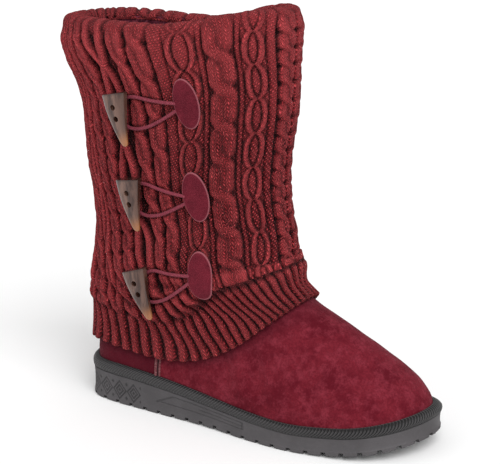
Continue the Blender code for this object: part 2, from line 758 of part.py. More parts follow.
def toggle(name, place, height, lean, finish):
    """Horn-shaped toggle, cut flat at the top, with two holes through it."""
    middle = sleeve_spot(place, height, 0.0)
    outwards = (sleeve_spot(place, height, TOGGLE_THICKNESS) - middle).normalized()
    side, rise = leaned(0.0, TOGGLE_THICKNESS, lean)
    up = (sleeve_spot(place + side, height + rise, 0.0) - middle).normalized()
    up = (up - outwards * up.dot(outwards)).normalized()
    across = outwards.cross(up)
    lift = FIT_GAP + TOGGLE_THICKNESS / 2
    for crossing in LOOP_CROSSINGS:
        above = crossing * LOOP_OPENING
        cord = sleeve_spot(place, height + above, FIT_GAP + CORD_DIAMETER)
        thick = between(TOGGLE_ROWS, 0.5 - above / TOGGLE_LENGTH, 1) * TOGGLE_THICKNESS / 2
        lift = max(lift, (cord - middle).dot(outwards) + thick + FIT_GAP)
    bm = bmesh.new()
    verts = None
    for share, size, bow in TOGGLE_ROWS:
        centre = middle + outwards * lift + up * ((0.5 - share) * TOGGLE_LENGTH)
        centre += across * (bow * TOGGLE_BOW)
        width = size * TOGGLE_WIDTH / 2
        thick = size * TOGGLE_THICKNESS / 2
        ring = [centre + across * (width * math.cos(t)) + outwards * (thick * math.sin(t))
                for t in angles(TOGGLE_SIDES)]
        verts = extrude_ring(bm, verts, ring) if verts else add_ring(bm, ring)
        if share == TOGGLE_ROWS[0][0]:
            bm.faces.new(verts)
    bm.faces.new(verts)
    horn = object_from(name, bm, finish)
    bm = bmesh.new()
    for hole in TOGGLE_HOLES:
        radius = TOGGLE_HOLE / 2
        drill = bmesh.ops.create_cone(bm, cap_ends=True, segments=HOLE_SIDES, radius1=radius,
                                      radius2=radius, depth=3 * TOGGLE_THICKNESS)["verts"]
        turn = Vector((0, 0, 1)).rotation_difference(outwards).to_matrix()
        bmesh.ops.rotate(bm, verts=drill, matrix=turn, cent=(0, 0, 0))
        spot = middle + outwards * lift + up * ((0.5 - hole) * TOGGLE_LENGTH)
        bmesh.ops.translate(bm, verts=drill, vec=spot)
    boolean(horn, "holes", cutter_object(name + "_drill", bm), "DIFFERENCE")


def main():
    for old in list(bpy.data.objects):
        bpy.data.objects.remove(old, do_unlink=True)
    sole()
    binding()
    insole()
    upper()
    seam_finish = material("seam_tape")
    side_seam("side_seam_lateral", -1, seam_finish)
    side_seam("side_seam_medial", 1, seam_finish)
    knit_sleeve()
    patch_finish = material("patch_suede")
    cord_finish = material("elastic_cord")
    horn_finish = material("toggle_horn")
    for n, fastening in enumerate(FASTENINGS, 1):
        patch_height, toggle_height = [fastening[k] * COLLAR_BACK_HEIGHT for k in (0, 2)]
        patch_place, toggle_place = [fastening[k] * SOLE_LENGTH for k in (1, 3)]
        lean = fastening[4]
        patch(f"patch_{n}", patch_place, patch_height, patch_finish)
        loop(f"loop_{n}", patch_place, patch_height, toggle_place, toggle_height, cord_finish)
        toggle(f"toggle_{n}", toggle_place, toggle_height, math.radians(lean), horn_finish)


main()
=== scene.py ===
import math

import bmesh
import bpy
import numpy as np
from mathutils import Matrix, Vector, noise


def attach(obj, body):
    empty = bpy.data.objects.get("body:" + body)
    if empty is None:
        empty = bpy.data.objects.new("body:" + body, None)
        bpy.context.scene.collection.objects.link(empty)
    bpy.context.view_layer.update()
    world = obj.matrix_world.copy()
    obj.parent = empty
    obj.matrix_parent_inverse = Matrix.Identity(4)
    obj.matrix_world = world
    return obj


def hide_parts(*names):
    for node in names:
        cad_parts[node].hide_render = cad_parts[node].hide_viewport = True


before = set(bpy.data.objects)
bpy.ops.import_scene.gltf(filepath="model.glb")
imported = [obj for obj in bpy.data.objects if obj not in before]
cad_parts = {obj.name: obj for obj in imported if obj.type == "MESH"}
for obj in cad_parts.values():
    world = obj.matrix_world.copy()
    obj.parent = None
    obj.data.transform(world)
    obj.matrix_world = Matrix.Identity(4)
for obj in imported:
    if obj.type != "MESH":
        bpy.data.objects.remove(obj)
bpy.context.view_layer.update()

studio = bpy.context.scene.collection

# Metres, as the source has them: x to the toe from under the heel, the outer side towards -y.
boot = {
    "soleLength": 0.280,
    "ballWidth": 0.1026,
    "heelWidth": 0.0752,
    "heelCentre": 0.036,
    "heelWall": 0.0215,
    "forefootWall": 0.0123,
    "wallTaper": (0.12, 0.72),
    "toeSpring": 0.0114,
    "toeSpringStart": 0.186,
    "archLift": 0.0012,
    "archStart": 0.084,
    "archEnd": 0.158,
    "collarBack": 0.2820,
    "collarFront": 0.3015,
    "ankleDepth": 0.145,
    "ankleWidth": 0.066,
    "collarDepth": 0.175,
    "collarWidth": 0.072,
    "upperWall": 0.0030,
    "fitGap": 0.0003,
}

# Share of the length, half width and inward swing as shares of the width beside them.
outlineRows = (
    (0.000, 0.000, 0.000, "heelWidth"),
    (0.015, 0.240, 0.000, "heelWidth"),
    (0.050, 0.400, 0.004, "heelWidth"),
    (0.120, 0.482, 0.012, "heelWidth"),
    (0.220, 0.500, 0.000, "heelWidth"),
    (0.350, 0.366, -0.026, "ballWidth"),
    (0.470, 0.394, -0.034, "ballWidth"),
    (0.580, 0.457, -0.010, "ballWidth"),
    (0.680, 0.500, 0.016, "ballWidth"),
    (0.780, 0.494, 0.037, "ballWidth"),
    (0.870, 0.448, 0.040, "ballWidth"),
    (0.940, 0.340, 0.054, "ballWidth"),
    (0.985, 0.180, 0.078, "ballWidth"),
    (1.000, 0.000, 0.104, "ballWidth"),
)
turnRows = tuple((math.acos(1 - 2 * row[0]),) + row[1:] for row in outlineRows)

# height, back, length, of, width, of, widest, round, plan
sectionRows = (
    (0.000, 0.0155, 0.964, "soleLength", 0.925, "ballWidth", 0.60, 2.2, 1.00),
    (0.036, 0.0145, 0.962, "soleLength", 0.925, "ballWidth", 0.60, 2.2, 1.00),
    (0.060, 0.0135, 0.951, "soleLength", 0.915, "ballWidth", 0.60, 2.2, 1.00),
    (0.090, 0.0135, 0.930, "soleLength", 0.860, "ballWidth", 0.58, 2.2, 0.95),
    (0.130, 0.0140, 0.889, "soleLength", 0.775, "ballWidth", 0.55, 2.2, 0.80),
    (0.165, 0.0150, 0.845, "soleLength", 0.720, "ballWidth", 0.50, 2.2, 0.55),
    (0.200, 0.0165, 0.793, "soleLength", 0.690, "ballWidth", 0.46, 2.2, 0.32),
    (0.235, 0.0190, 0.735, "soleLength", 0.670, "ballWidth", 0.45, 2.1, 0.15),
    (0.270, 0.0225, 1.270, "ankleDepth", 1.020, "ankleWidth", 0.46, 2.1, 0.05),
    (0.310, 0.0270, 1.130, "ankleDepth", 1.010, "ankleWidth", 0.47, 2.1, 0.00),
    (0.370, 0.0350, 1.015, "ankleDepth", 1.000, "ankleWidth", 0.49, 2.1, 0.00),
    (0.450, 0.0380, 1.010, "ankleDepth", 1.000, "ankleWidth", 0.50, 2.1, 0.00),
    (0.600, 0.0190, 1.030, "ankleDepth", 1.020, "ankleWidth", 0.50, 2.1, 0.00),
    (0.800, 0.0020, 0.915, "collarDepth", 0.960, "collarWidth", 0.50, 2.1, 0.00),
    (0.920, -0.0280, 0.968, "collarDepth", 0.990, "collarWidth", 0.50, 2.1, 0.00),
    (1.000, -0.0450, 1.000, "collarDepth", 1.000, "collarWidth", 0.50, 2.1, 0.00),
)
collarRows = ((-0.05, 0.0), (0.06, 0.15), (0.20, 0.20), (0.30, 0.27), (0.40, 0.50), (0.50, 0.80), (0.62, 1.0))
hemRows = ((-0.04, 0.00), (0.05, 0.10), (0.18, 0.08), (0.28, 0.07), (0.36, 0.11), (0.44, 0.23),
           (0.52, 0.43), (0.60, 0.72), (0.66, 0.93), (0.72, 1.0))

# height, stand-off, thickness, fold, roll
coverRows = (
    (0.000, 1.00, 0.62, 0.00, 0.00),
    (0.045, 1.00, 0.75, 0.00, 0.00),
    (0.080, 1.00, 0.80, 0.00, 0.00),
    (0.110, 1.00, 0.85, 0.10, 0.00),
    (0.140, 1.00, 0.90, 0.85, 0.00),
    (0.170, 1.00, 1.00, 1.00, 0.00),
    (0.220, 1.00, 1.00, 0.65, 0.00),
    (0.290, 0.70, 1.00, 0.25, 0.00),
    (0.380, 0.40, 1.00, 0.00, 0.00),
    (0.500, 0.30, 1.00, 0.00, 0.00),
    (0.660, 0.30, 1.05, 0.00, 0.05),
    (0.800, 0.30, 1.05, 0.00, 0.25),
    (0.890, 0.30, 1.05, 0.00, 0.70),
    (0.955, 0.30, 1.00, 0.00, 1.00),
    (1.000, 0.30, 0.90, 0.00, 0.65),
)
cover = {
    "thickness": 0.0062,
    "hemStandOff": 0.0016,
    "foldOverhang": 0.0085,
    "foldAtBack": 0.10,
    "foldDrop": 0.075,
    "collarRoll": 0.0068,
    "rollAtFront": 0.10,
    "hemBack": 0.0400,
    "hemFront": 0.1020,
}


def readRows(rows, key, column, factor=None):
    # Reads a column smoothly, times the size named in column factor.
    keys = np.array([row[0] for row in rows], dtype=float)
    values = np.array([row[column] * (boot[row[factor]] if factor else 1.0) for row in rows], dtype=float)
    slopes = np.empty(len(keys))
    slopes[1:-1] = (values[2:] - values[:-2]) / (keys[2:] - keys[:-2])
    slopes[0] = (values[1] - values[0]) / (keys[1] - keys[0])
    slopes[-1] = (values[-1] - values[-2]) / (keys[-1] - keys[-2])
    key = np.clip(key, keys[0], keys[-1])
    i = np.clip(np.searchsorted(keys, key) - 1, 0, len(keys) - 2)
    span = keys[i + 1] - keys[i]
    t = (key - keys[i]) / span
    rise = values[i] + (values[i + 1] - values[i]) * t * t * (3 - 2 * t)
    return rise + span * (slopes[i] * t * (1 - t) ** 2 - slopes[i + 1] * t * t * (1 - t))


def ramp(value, start, end):
    t = np.clip((value - start) / (end - start), 0.0, 1.0)
    return t * t * (3 - 2 * t)


def hump(value, centre, reach):
    # 1 at the centre, 0 past the reach on each side.
    return 1 - ramp(np.abs(value - centre), 0.0, reach)


def turnShare(angle):
    return (1 - np.cos(angle)) / 2


def planSides(angle):
    halfTurn = np.arccos(np.cos(angle))
    return readRows(turnRows, halfTurn, 1, 3), readRows(turnRows, halfTurn, 2, 3)


def sideOf(angle):
    return np.where(np.sin(angle) >= 0, -1.0, 1.0)


def springHeight(place):
    reach = np.maximum(place - boot["toeSpringStart"], 0.0) / (boot["soleLength"] - boot["toeSpringStart"])
    return boot["toeSpring"] * reach ** 2


def treadHeight(place):
    middle = (boot["archStart"] + boot["archEnd"]) / 2
    arch = ramp(place, boot["archStart"], middle) - ramp(place, middle, boot["archEnd"])
    return boot["archLift"] * arch + springHeight(place)


def seatHeight(place):
    share = ramp(place / boot["soleLength"], *boot["wallTaper"])
    return springHeight(place) + boot["heelWall"] + (boot["forefootWall"] - boot["heelWall"]) * share


def collarHeight(place):
    share = readRows(collarRows, place / boot["soleLength"], 1)
    return boot["collarBack"] + (boot["collarFront"] - boot["collarBack"]) * share


def hemHeight(place):
    share = readRows(hemRows, place / boot["soleLength"], 1)
    return cover["hemBack"] + (cover["hemFront"] - cover["hemBack"]) * share


def outlinePoint(angle, out, height):
    step = 0.01
    points = []
    for turn in (angle - step, angle, angle + step):
        half, swing = planSides(turn)
        across = swing + sideOf(turn) * half
        points.append(np.stack([boot["soleLength"] * turnShare(turn), across], -1))
    along = points[2] - points[0]
    along /= np.linalg.norm(along, axis=-1, keepdims=True)
    x = points[1][..., 0] + along[..., 1] * out - boot["heelCentre"]
    y = points[1][..., 1] - along[..., 0] * out
    return np.stack([x, y, height + 0 * x], -1)


def sectionPoint(height, angle):
    back = readRows(sectionRows, height, 1) * boot["soleLength"]
    length = readRows(sectionRows, height, 2, 3)
    width = readRows(sectionRows, height, 4, 5)
    widest = readRows(sectionRows, height, 6)
    power = readRows(sectionRows, height, 7)
    plan = readRows(sectionRows, height, 8)
    share = turnShare(angle)
    near = np.where(share < widest, share / widest, (1 - share) / (1 - widest))
    egg = (1 - (1 - near) ** power) ** (1 / power) * width / 2
    half, swing = planSides(angle)
    half = half * width / boot["ballWidth"]
    y = plan * swing + sideOf(angle) * (plan * half + (1 - plan) * egg)
    place = back + share * length
    low = seatHeight(place) + boot["fitGap"]
    z = low + height * (collarHeight(place) - low)
    return np.stack([place - boot["heelCentre"], y, z], -1)


def upperPoint(height, angle, out=0.0):
    step = 0.004
    height, angle, out = np.broadcast_arrays(*(np.asarray(a, dtype=float) for a in (height, angle, out)))
    above, below = np.minimum(height + step, 1.0), np.maximum(height - step, 0.0)
    up = sectionPoint(above, angle) - sectionPoint(below, angle)
    along = sectionPoint(height, angle + 0.02) - sectionPoint(height, angle - 0.02)
    outwards = np.cross(along, up)
    level = (height <= 0.0) | (height >= 1.0)
    outwards[..., 2] = np.where(level, 0.0, outwards[..., 2])
    outwards /= np.linalg.norm(outwards, axis=-1, keepdims=True)
    return sectionPoint(height, angle) + outwards * out[..., None]


def hemShare(angle):
    low, high = np.full(np.shape(angle), 0.03), np.full(np.shape(angle), 0.60)
    for _ in range(24):
        middle = (low + high) / 2
        point = sectionPoint(middle, angle)
        below = point[..., 2] < hemHeight(point[..., 0] + boot["heelCentre"])
        low, high = np.where(below, middle, low), np.where(below, high, middle)
    return low


def coverPoint(rise, angle, outer=True, out=0.0):
    rise, angle = np.broadcast_arrays(np.asarray(rise, dtype=float), np.asarray(angle, dtype=float))
    hem = hemShare(angle)
    stand = boot["fitGap"] + readRows(coverRows, rise, 1) * cover["hemStandOff"]
    if outer:
        share = turnShare(angle)
        stand = stand + readRows(coverRows, rise, 2) * cover["thickness"]
        drop = cover["foldDrop"] * ramp(share, 0.55, 1.0)
        grown = cover["foldAtBack"] + (1 - cover["foldAtBack"]) * ramp(share, 0.2, 0.9)
        stand = stand + readRows(coverRows, rise + drop, 3) * cover["foldOverhang"] * grown
        roll = cover["collarRoll"] * (1 - (1 - cover["rollAtFront"]) * share)
        stand = stand + readRows(coverRows, rise, 4) * roll
    return upperPoint(hem + (1 - hem) * rise, angle, stand + out)


def coverSpot(place, height, out=0.0):
    # Point off the cover's outer side, by its distance from the sole's back and its height.
    place, height = np.broadcast_arrays(np.asarray(place, dtype=float), np.asarray(height, dtype=float))
    share = place / boot["collarDepth"]
    rise = (height - cover["hemBack"]) / (boot["collarBack"] - cover["hemBack"])
    for _ in range(12):
        share, rise = np.clip(share, 0.01, 0.99), np.clip(rise, 0.0, 1.0)
        point = coverPoint(rise, np.arccos(1 - 2 * share))
        share = share + (place - boot["heelCentre"] - point[..., 0]) / boot["collarDepth"]
        rise = rise + (height - point[..., 2]) / boot["collarBack"]
    share, rise = np.clip(share, 0.01, 0.99), np.clip(rise, 0.0, 1.0)
    return coverPoint(rise, np.arccos(1 - 2 * share), True, out)


class Wire:
    # A shader value that can be used in sums.
    def __init__(self, finish, socket):
        self.finish = finish
        self.socket = socket

    def __add__(self, other):
        return self.finish.maths("ADD", self, other)

    def __radd__(self, other):
        return self.finish.maths("ADD", other, self)

    def __sub__(self, other):
        return self.finish.maths("SUBTRACT", self, other)

    def __rsub__(self, other):
        return self.finish.maths("SUBTRACT", other, self)

    def __mul__(self, other):
        return self.finish.maths("MULTIPLY", self, other)

    def __rmul__(self, other):
        return self.finish.maths("MULTIPLY", other, self)

    def __truediv__(self, other):
        return self.finish.maths("DIVIDE", self, other)

    def __pow__(self, other):
        return self.finish.maths("POWER", self, other)

    def __abs__(self):
        return self.finish.maths("ABSOLUTE", self)


class Finish:
    def __init__(self, name, **fixed):
        self.material = bpy.data.materials.new(name)
        self.material.use_nodes = True
        self.tree = self.material.node_tree
        self.shader = self.tree.nodes["Principled BSDF"]
        for socket, value in fixed.items():
            self.shader.inputs[socket.replace("_", " ")].default_value = value

    def node(self, kind, settings=None, sockets=None, output=0):
        made = self.tree.nodes.new(kind)
        for name, value in (settings or {}).items():
            setattr(made, name, value)
        for socket, value in (sockets or {}).items():
            if isinstance(value, Wire):
                self.tree.links.new(value.socket, made.inputs[socket])
            else:
                made.inputs[socket].default_value = value
        return Wire(self, made.outputs[output])

    def maths(self, operation, first, second=0.0):
        return self.node("ShaderNodeMath", {"operation": operation}, {0: first, 1: second})

    def place(self):
        return self.node("ShaderNodeTexCoord", output="Object")

    def noise(self, scale, detail=3.0, rough=0.5, stretch=None):
        at = self.place()
        if stretch:
            at = self.node("ShaderNodeVectorMath", {"operation": "MULTIPLY"}, {0: at, 1: stretch})
        return self.node("ShaderNodeTexNoise", {"noise_dimensions": "3D"},
                         {"Vector": at, "Scale": scale, "Detail": detail, "Roughness": rough})

    def spread(self, wire, low, high):
        # Stretches the values from low to high over 0 to 1.
        return self.node("ShaderNodeMapRange", {"interpolation_type": "SMOOTHSTEP"},
                         {0: wire, 1: low, 2: high, 3: 0.0, 4: 1.0})

    def mottle(self, low, high, *grain, stretch=None):
        return self.spread(self.noise(*grain, stretch=stretch), low, high)

    def layers(self, tone, *coats):
        # Lays each coat's colour over the tone, by the coat's mask.
        for mask, over in coats:
            tone = self.node("ShaderNodeMix", {"data_type": "RGBA"}, {0: mask, 6: tone, 7: over}, 2)
        return tone

    def attribute(self, name):
        return self.node("ShaderNodeAttribute", {"attribute_name": name}, output="Fac")

    def across(self):
        woven = self.node("ShaderNodeUVMap", {"uv_map": "weave"})
        return self.node("ShaderNodeSeparateXYZ", None, {0: woven})

    def bump(self, height, distance, strength=1.0):
        sockets = {"Strength": strength, "Distance": distance, "Height": height}
        self.wear("Normal", self.node("ShaderNodeBump", None, sockets))

    def wear(self, socket, wire):
        self.tree.links.new(wire.socket, self.shader.inputs[socket])


def colour(red, green, blue):
    # From the 0 to 255 values of a picture to the shader's own.
    return tuple(((v / 255 + 0.055) / 1.055) ** 2.4 for v in (red, green, blue)) + (1.0,)


def finished(name, bm, finish, replaced=(), sharp=None):
    mesh = bpy.data.meshes.new(name)
    bm.to_mesh(mesh)
    bm.free()
    piece = bpy.data.objects.new(name, mesh)
    studio.objects.link(piece)
    mesh.materials.append(finish.material)
    mesh.shade_smooth()
    if sharp:
        mesh.set_sharp_from_angle(angle=math.radians(sharp))
    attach(piece, "root")
    if replaced:
        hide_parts(*replaced)
    print(name, len(mesh.polygons), "faces")
    return piece


def wrappedGrid(across, up, points, closed=True, flip=False, marks=None):
    # A flat grid, laid on the points (up + 1 rows of across + 1) and joined where it meets itself.
    bm = bmesh.new()
    bm.loops.layers.uv.new("weave")
    bmesh.ops.create_grid(bm, x_segments=across, y_segments=up, size=0.5, calc_uvs=True)
    layers = {key: bm.verts.layers.float.new(key) for key in (marks or {})}
    for vert in bm.verts:
        column = round((vert.co.x + 0.5) * across)
        row = round((vert.co.y + 0.5) * up)
        vert.co = points[row, column]
        for key, layer in layers.items():
            vert[layer] = marks[key][row, column]
    if closed:
        bmesh.ops.remove_doubles(bm, verts=bm.verts, dist=1e-5)
    if flip:
        bmesh.ops.reverse_faces(bm, faces=bm.faces)
    return bm


def gridNormals(points):
    # Outward directions of a closed grid of points.
    along = np.empty_like(points)
    along[:, 1:-1] = points[:, 2:] - points[:, :-2]
    along[:, 0] = along[:, -1] = points[:, 1] - points[:, -2]
    up = np.empty_like(points)
    up[1:-1] = points[2:] - points[:-2]
    up[0], up[-1] = points[1] - points[0], points[-1] - points[-2]
    outwards = np.cross(along, up)
    return outwards / np.maximum(np.linalg.norm(outwards, axis=-1, keepdims=True), 1e-12)


def softNoise(points, scale, shift=0.0):
    # Smooth noise from -1 to 1 at an array of points.
    flat = (points.reshape(-1, 3) + (shift, 0.0, 0.0)) / scale
    return np.array([noise.noise(Vector(p)) for p in flat]).reshape(points.shape[:-1])


def joined(rows):
    # Rings of points as one array, the end of each exactly on its start.
    points = np.array(rows)
    points[:, -1] = points[:, 0]
    return points


def capped(bm):
    bmesh.ops.holes_fill(bm, edges=[e for e in bm.edges if e.is_boundary], sides=0)
    bmesh.ops.recalc_face_normals(bm, faces=bm.faces)
    return bm


# Camera, floor and light
view = {
    "from": (0.696, -0.976, 0.457),
    "at": (0.0603, 0.0598, 0.120),
    "lens": 118.44,
    "sky": 0.56,
}
camera = bpy.data.objects.new("camera", bpy.data.cameras.new("camera"))
studio.objects.link(camera)
camera.data.lens = view["lens"]
camera.location = view["from"]
camera.rotation_euler = (Vector(view["at"]) - Vector(view["from"])).to_track_quat("-Z", "Y").to_euler()
bpy.context.scene.camera = camera
bpy.context.scene.view_settings.view_transform = "Standard"

lights = {
    # name: direction it comes from, strength, softness in degrees
    "key": ((0.60, -0.54, 0.80), 2.1, 48.0),
    "side": ((0.90, -0.30, 0.50), 0.5, 60.0),
    "fill": ((-0.60, -0.70, 0.42), 0.35, 60.0),
}
for name, (towards, strength, softness) in lights.items():
    lamp = bpy.data.objects.new(name, bpy.data.lights.new(name, "SUN"))
    studio.objects.link(lamp)
    lamp.data.energy = strength
    lamp.data.angle = math.radians(softness)
    lamp.location = towards
    lamp.rotation_euler = Vector(towards).to_track_quat("Z", "Y").to_euler()
world = bpy.data.worlds.new("studio")
bpy.context.scene.world = world
world.use_nodes = True
sky = world.node_tree.nodes["Background"].inputs
sky["Color"].default_value = (1.0, 1.0, 1.0, 1.0)
sky["Strength"].default_value = view["sky"]

floorFinish = Finish("floorPaper", Base_Color=(0.96, 0.96, 0.96, 1.0), Roughness=1.0, Specular_IOR_Level=0.0)
bm = bmesh.new()
bmesh.ops.create_grid(bm, x_segments=1, y_segments=1, size=12.0)
floorMesh = bpy.data.meshes.new("floor")
bm.to_mesh(floorMesh)
bm.free()
floor = bpy.data.objects.new("floor", floorMesh)
studio.objects.link(floor)
floorMesh.materials.append(floorFinish.material)
print("camera, light and floor are set")


# The tape round the foot of the upper, its height at the heel and at the toe
tape = {
    "height": 0.0090,
    "toeHeight": 0.0066,
    "proud": 0.0008,
    "columns": 360,
    "ribPitch": 0.0025,
    "ribSlope": 3.6,
    "colour": colour(56, 54, 55),
    "dark": colour(10, 10, 11),
    "light": colour(84, 82, 83),
}


def tapeHeight(place):
    share = ramp(place / boot["soleLength"], *boot["wallTaper"])
    return tape["height"] + (tape["toeHeight"] - tape["height"]) * share


# Suede foot: one skin from the sole up, inside the cover
suede = {
    "columns": 300,
    "rows": 190,
    "top": 0.985,
    "seamPlace": 0.0740,
    "colour": colour(108, 25, 38),
    "worn": colour(138, 50, 64),
    "deep": colour(78, 8, 22),
    "counter": colour(70, 8, 24),
    # foot: a painted shadow, the dark line where the suede meets the tape
    "foot": colour(26, 4, 10),
    "shade": colour(50, 8, 20),
}


def suedeSkin():
    turns = np.linspace(0, 2 * math.pi, suede["columns"] + 1)
    shares = np.linspace(0, 1, suede["rows"] + 1) ** 1.5 * suede["top"]
    height, angle = np.meshgrid(shares, turns, indexing="ij")
    base = upperPoint(height, angle)
    outwards = gridNormals(base)
    place = base[..., 0] + boot["heelCentre"]
    lateral = base[..., 1] < 0
    above = base[..., 2] - seatHeight(place)
    # Soft troughs and ridges: across the bend of the toes, at the instep and by the hem
    creases = (
        # place at the foot, at the top, reach, depth in mm, side (-1 outer, 1 inner, 0 both)
        (0.178, 0.150, 0.011, -0.9, 0),
        (0.160, 0.136, 0.010, 0.6, 0),
        (0.142, 0.128, 0.012, -0.8, -1),
        (0.200, 0.176, 0.012, 0.5, 0),
        (0.216, 0.198, 0.010, -0.5, 1),
    )
    relief = np.zeros(place.shape)
    for foot, head, reach, depth, side in creases:
        lean = foot + (head - foot) * np.clip(above / 0.06, 0, 1.4)
        strength = ramp(above, 0.004, 0.022) * (1 - ramp(above, 0.045, 0.075))
        if side:
            strength = strength * np.where(lateral == (side < 0), 1.0, 0.25)
        relief += depth * hump(place, lean, reach) * strength
    relief += 0.45 * softNoise(base, 0.030)
    relief += 0.22 * softNoise(base, 0.013, 2)
    relief *= ramp(above, 0.006, 0.020)
    points = base + outwards * relief[..., None] / 1000
    counter = 1 - ramp(place, suede["seamPlace"] - 0.0008, suede["seamPlace"] + 0.0008)
    hem = hemShare(angle)
    shade = ramp(height, hem - 0.035, hem)
    # Painted shadow: a thin dark line on the suede just above the tape, for the gap between them
    foot = 1 - ramp(above - tapeHeight(place), -0.0006, 0.0010)
    marks = {"counter": counter, "shade": shade, "foot": foot}
    return wrappedGrid(suede["columns"], suede["rows"], points, marks=marks)


suedeFinish = Finish("suede", Roughness=0.92, Specular_IOR_Level=0.12, Sheen_Weight=0.10, Sheen_Roughness=0.4,
                     Sheen_Tint=(0.85, 0.30, 0.38, 1.0))
clouds = suedeFinish.mottle(0.40, 0.62, 52.0, 5.0, 0.6)
brushed = suedeFinish.mottle(0.44, 0.62, 130.0, 6.0, 0.72)
speck = suedeFinish.mottle(0.38, 0.62, 640.0, 3.0, 0.7)
nap = suedeFinish.layers(
    suede["colour"],
    (clouds * 0.75, suede["deep"]),
    (brushed * 0.42, suede["worn"]),
    (suedeFinish.attribute("counter") * 0.85, suede["counter"]),
    (speck * 0.46, suede["deep"]),
    # Painted shadow along the suede's foot, just above the tape
    (suedeFinish.attribute("foot") * 0.9, suede["foot"]),
    (suedeFinish.attribute("shade") * 0.40, suede["shade"]),
)
suedeFinish.wear("Base Color", nap)
suedeFinish.wear("Roughness", 0.84 + 0.14 * clouds)
suedeFinish.bump(speck * 0.5 + brushed * 0.5, 0.0005, 0.6)
finished("suedeUpper", suedeSkin(), suedeFinish, ("upper",))
print("suede foot is made")


# Fastenings, ahead of the knit, which lies flatter under them. Heights are shares of the collar's
# at the back, places shares of the sole's length, and the toggle's lean is in degrees.
fastenings = (
    # patch height, patch place, toggle height, toggle place, lean
    (0.844, 0.383, 0.789, 0.202, 12),
    (0.608, 0.401, 0.571, 0.231, 8),
    (0.408, 0.425, 0.339, 0.259, 18),
)
fastening = {
    "patchWidth": 0.0188,
    "patchHeight": 0.0362,
    "patchThickness": 0.0018,
    "patchLift": 0.0014,
    "patchLean": math.radians(13),
    "cord": 0.0025,
    "cordLift": 0.0010,
    "toggleLength": 0.0388,
    "toggleWidth": 0.0210,
    "toggleThickness": 0.0105,
    "toggleBow": 0.0015,
    "toggleHole": 0.0042,
    "loopOpening": 0.0235,
    "loopPastToggle": 0.0040,
    "loopBelowPatch": 0.0030,
    "patch": colour(94, 23, 36),
    "patchDeep": colour(62, 9, 21),
    "patchLight": colour(134, 48, 62),
    "patchEdge": colour(168, 100, 108),
    "cordDark": colour(110, 38, 52),
    "cordLight": colour(152, 72, 84),
    "hornDark": colour(56, 33, 26),
    "hornLight": colour(112, 82, 70),
    "hornStreak": colour(58, 42, 36),
    # painted shade down one side of each toggle
    "hornShadedSide": colour(44, 24, 18),
    "hornTip": colour(170, 108, 62),
    "hornCut": colour(40, 26, 22),
}

# Share of the way from patch to toggle, rise as a share of the loop's opening
loopRoute = (
    (0.00, 0.11), (0.25, 0.24), (0.50, 0.40), (0.72, 0.56), (0.88, 0.58), (0.97, 0.42),
    (1.00, 0.14), (0.97, -0.14), (0.88, -0.32), (0.74, -0.42), (0.58, -0.44), (0.42, -0.40),
    (0.25, -0.30), (0.10, -0.19), (0.00, -0.11),
)

# Share of the length from the wide end, width, bow to the side
toggleRows = (
    (0.00, 1.00, 0.0),
    (0.28, 0.84, 0.5),
    (0.55, 0.62, 0.5),
    (0.80, 0.40, -0.1),
    (0.95, 0.26, -0.7),
    (1.00, 0.14, -1.0),
)


def fasteningSpots():
    # Patch place and height, toggle place and height and its lean, in metres and radians
    for patchHigh, patchAt, toggleHigh, toggleAt, lean in fastenings:
        yield (patchAt * boot["soleLength"], patchHigh * boot["collarBack"],
               toggleAt * boot["soleLength"], toggleHigh * boot["collarBack"], math.radians(lean))


def leaned(along, up, lean):
    return along * math.cos(lean) - up * math.sin(lean), along * math.sin(lean) + up * math.cos(lean)


def smoothRoute(points, steps):
    last = len(points) - 1
    fine = []
    for n in range(last):
        a, b, c, d = points[max(n - 1, 0)], points[n], points[n + 1], points[min(n + 2, last)]
        for t in np.arange(steps) / steps:
            fine.append(0.5 * (2 * b + (c - a) * t + (2 * a - 5 * b + 4 * c - d) * t * t
                               + (3 * b - a - 3 * c + d) * t ** 3))
    return np.array(fine + [points[last]])


def cordWay(patchPlace, patchHeight, togglePlace, toggleHeight):
    # Places and heights that a cord passes, out of the patch, behind the toggle and back.
    start = patchPlace - fastening["patchWidth"] / 2 + 0.0015
    far = togglePlace - fastening["loopPastToggle"]
    leave = patchHeight - fastening["loopBelowPatch"]
    opening = fastening["loopOpening"]
    return [(start + (far - start) * way, leave + (toggleHeight - leave) * way + rise * opening)
            for way, rise in loopRoute]


# Knitted cover. Widths are in mm round the leg at half height, from the back (0) to the front.
knit = {
    "columns": 430,
    "rows": 198,
    "rimRows": 12,
    "lipRows": 4,
    "stitchWidth": 3.7,
    "stitchHeight": 2.8,
    "ribs": 29,
    "ribTop": 0.115,
    "halfRound": 203.5,
    "colour": colour(138, 27, 36),
    # light also serves as painted highlight and dark as painted shade; groove is only painted shade in the
    # hollows
    "light": colour(214, 84, 88),
    "dark": colour(46, 5, 9),
    "groove": colour(24, 3, 6),
}

# start, end, kind, length of one crossing as a share of the rise, rise of a crossing, height in mm
knitColumns = (
    (0.0, 9.8, "rope", 0.110, 0.50, 1.8),
    (10.2, 19.8, "lattice", 0.190, 0.62, 1.8),
    (20.2, 29.8, "rope", 0.080, 0.44, 1.8),
    (30.2, 40.0, "lattice", 0.200, 0.70, 1.8),
    (40.6, 50.0, "rope", 0.062, 0.40, 1.8),
    (50.6, 60.4, "rope", 0.058, 0.58, 1.8),
    (62.0, 77.5, "lattice", 0.225, 0.66, 2.2),
    (79.5, 91.2, "rope", 0.108, 0.52, 2.0),
    (92.6, 106.6, "rope", 0.117, 0.56, 2.1),
    (117.0, 137.0, "chain", 0.120, 0.27, 1.3),
    (142.0, 162.0, "rope", 0.120, 0.84, 2.0),
    (166.8, 182.2, "chain", 0.1167, 0.145, 1.3),
    (190.0, 203.5, "rope", 0.060, 0.50, 2.2),
)

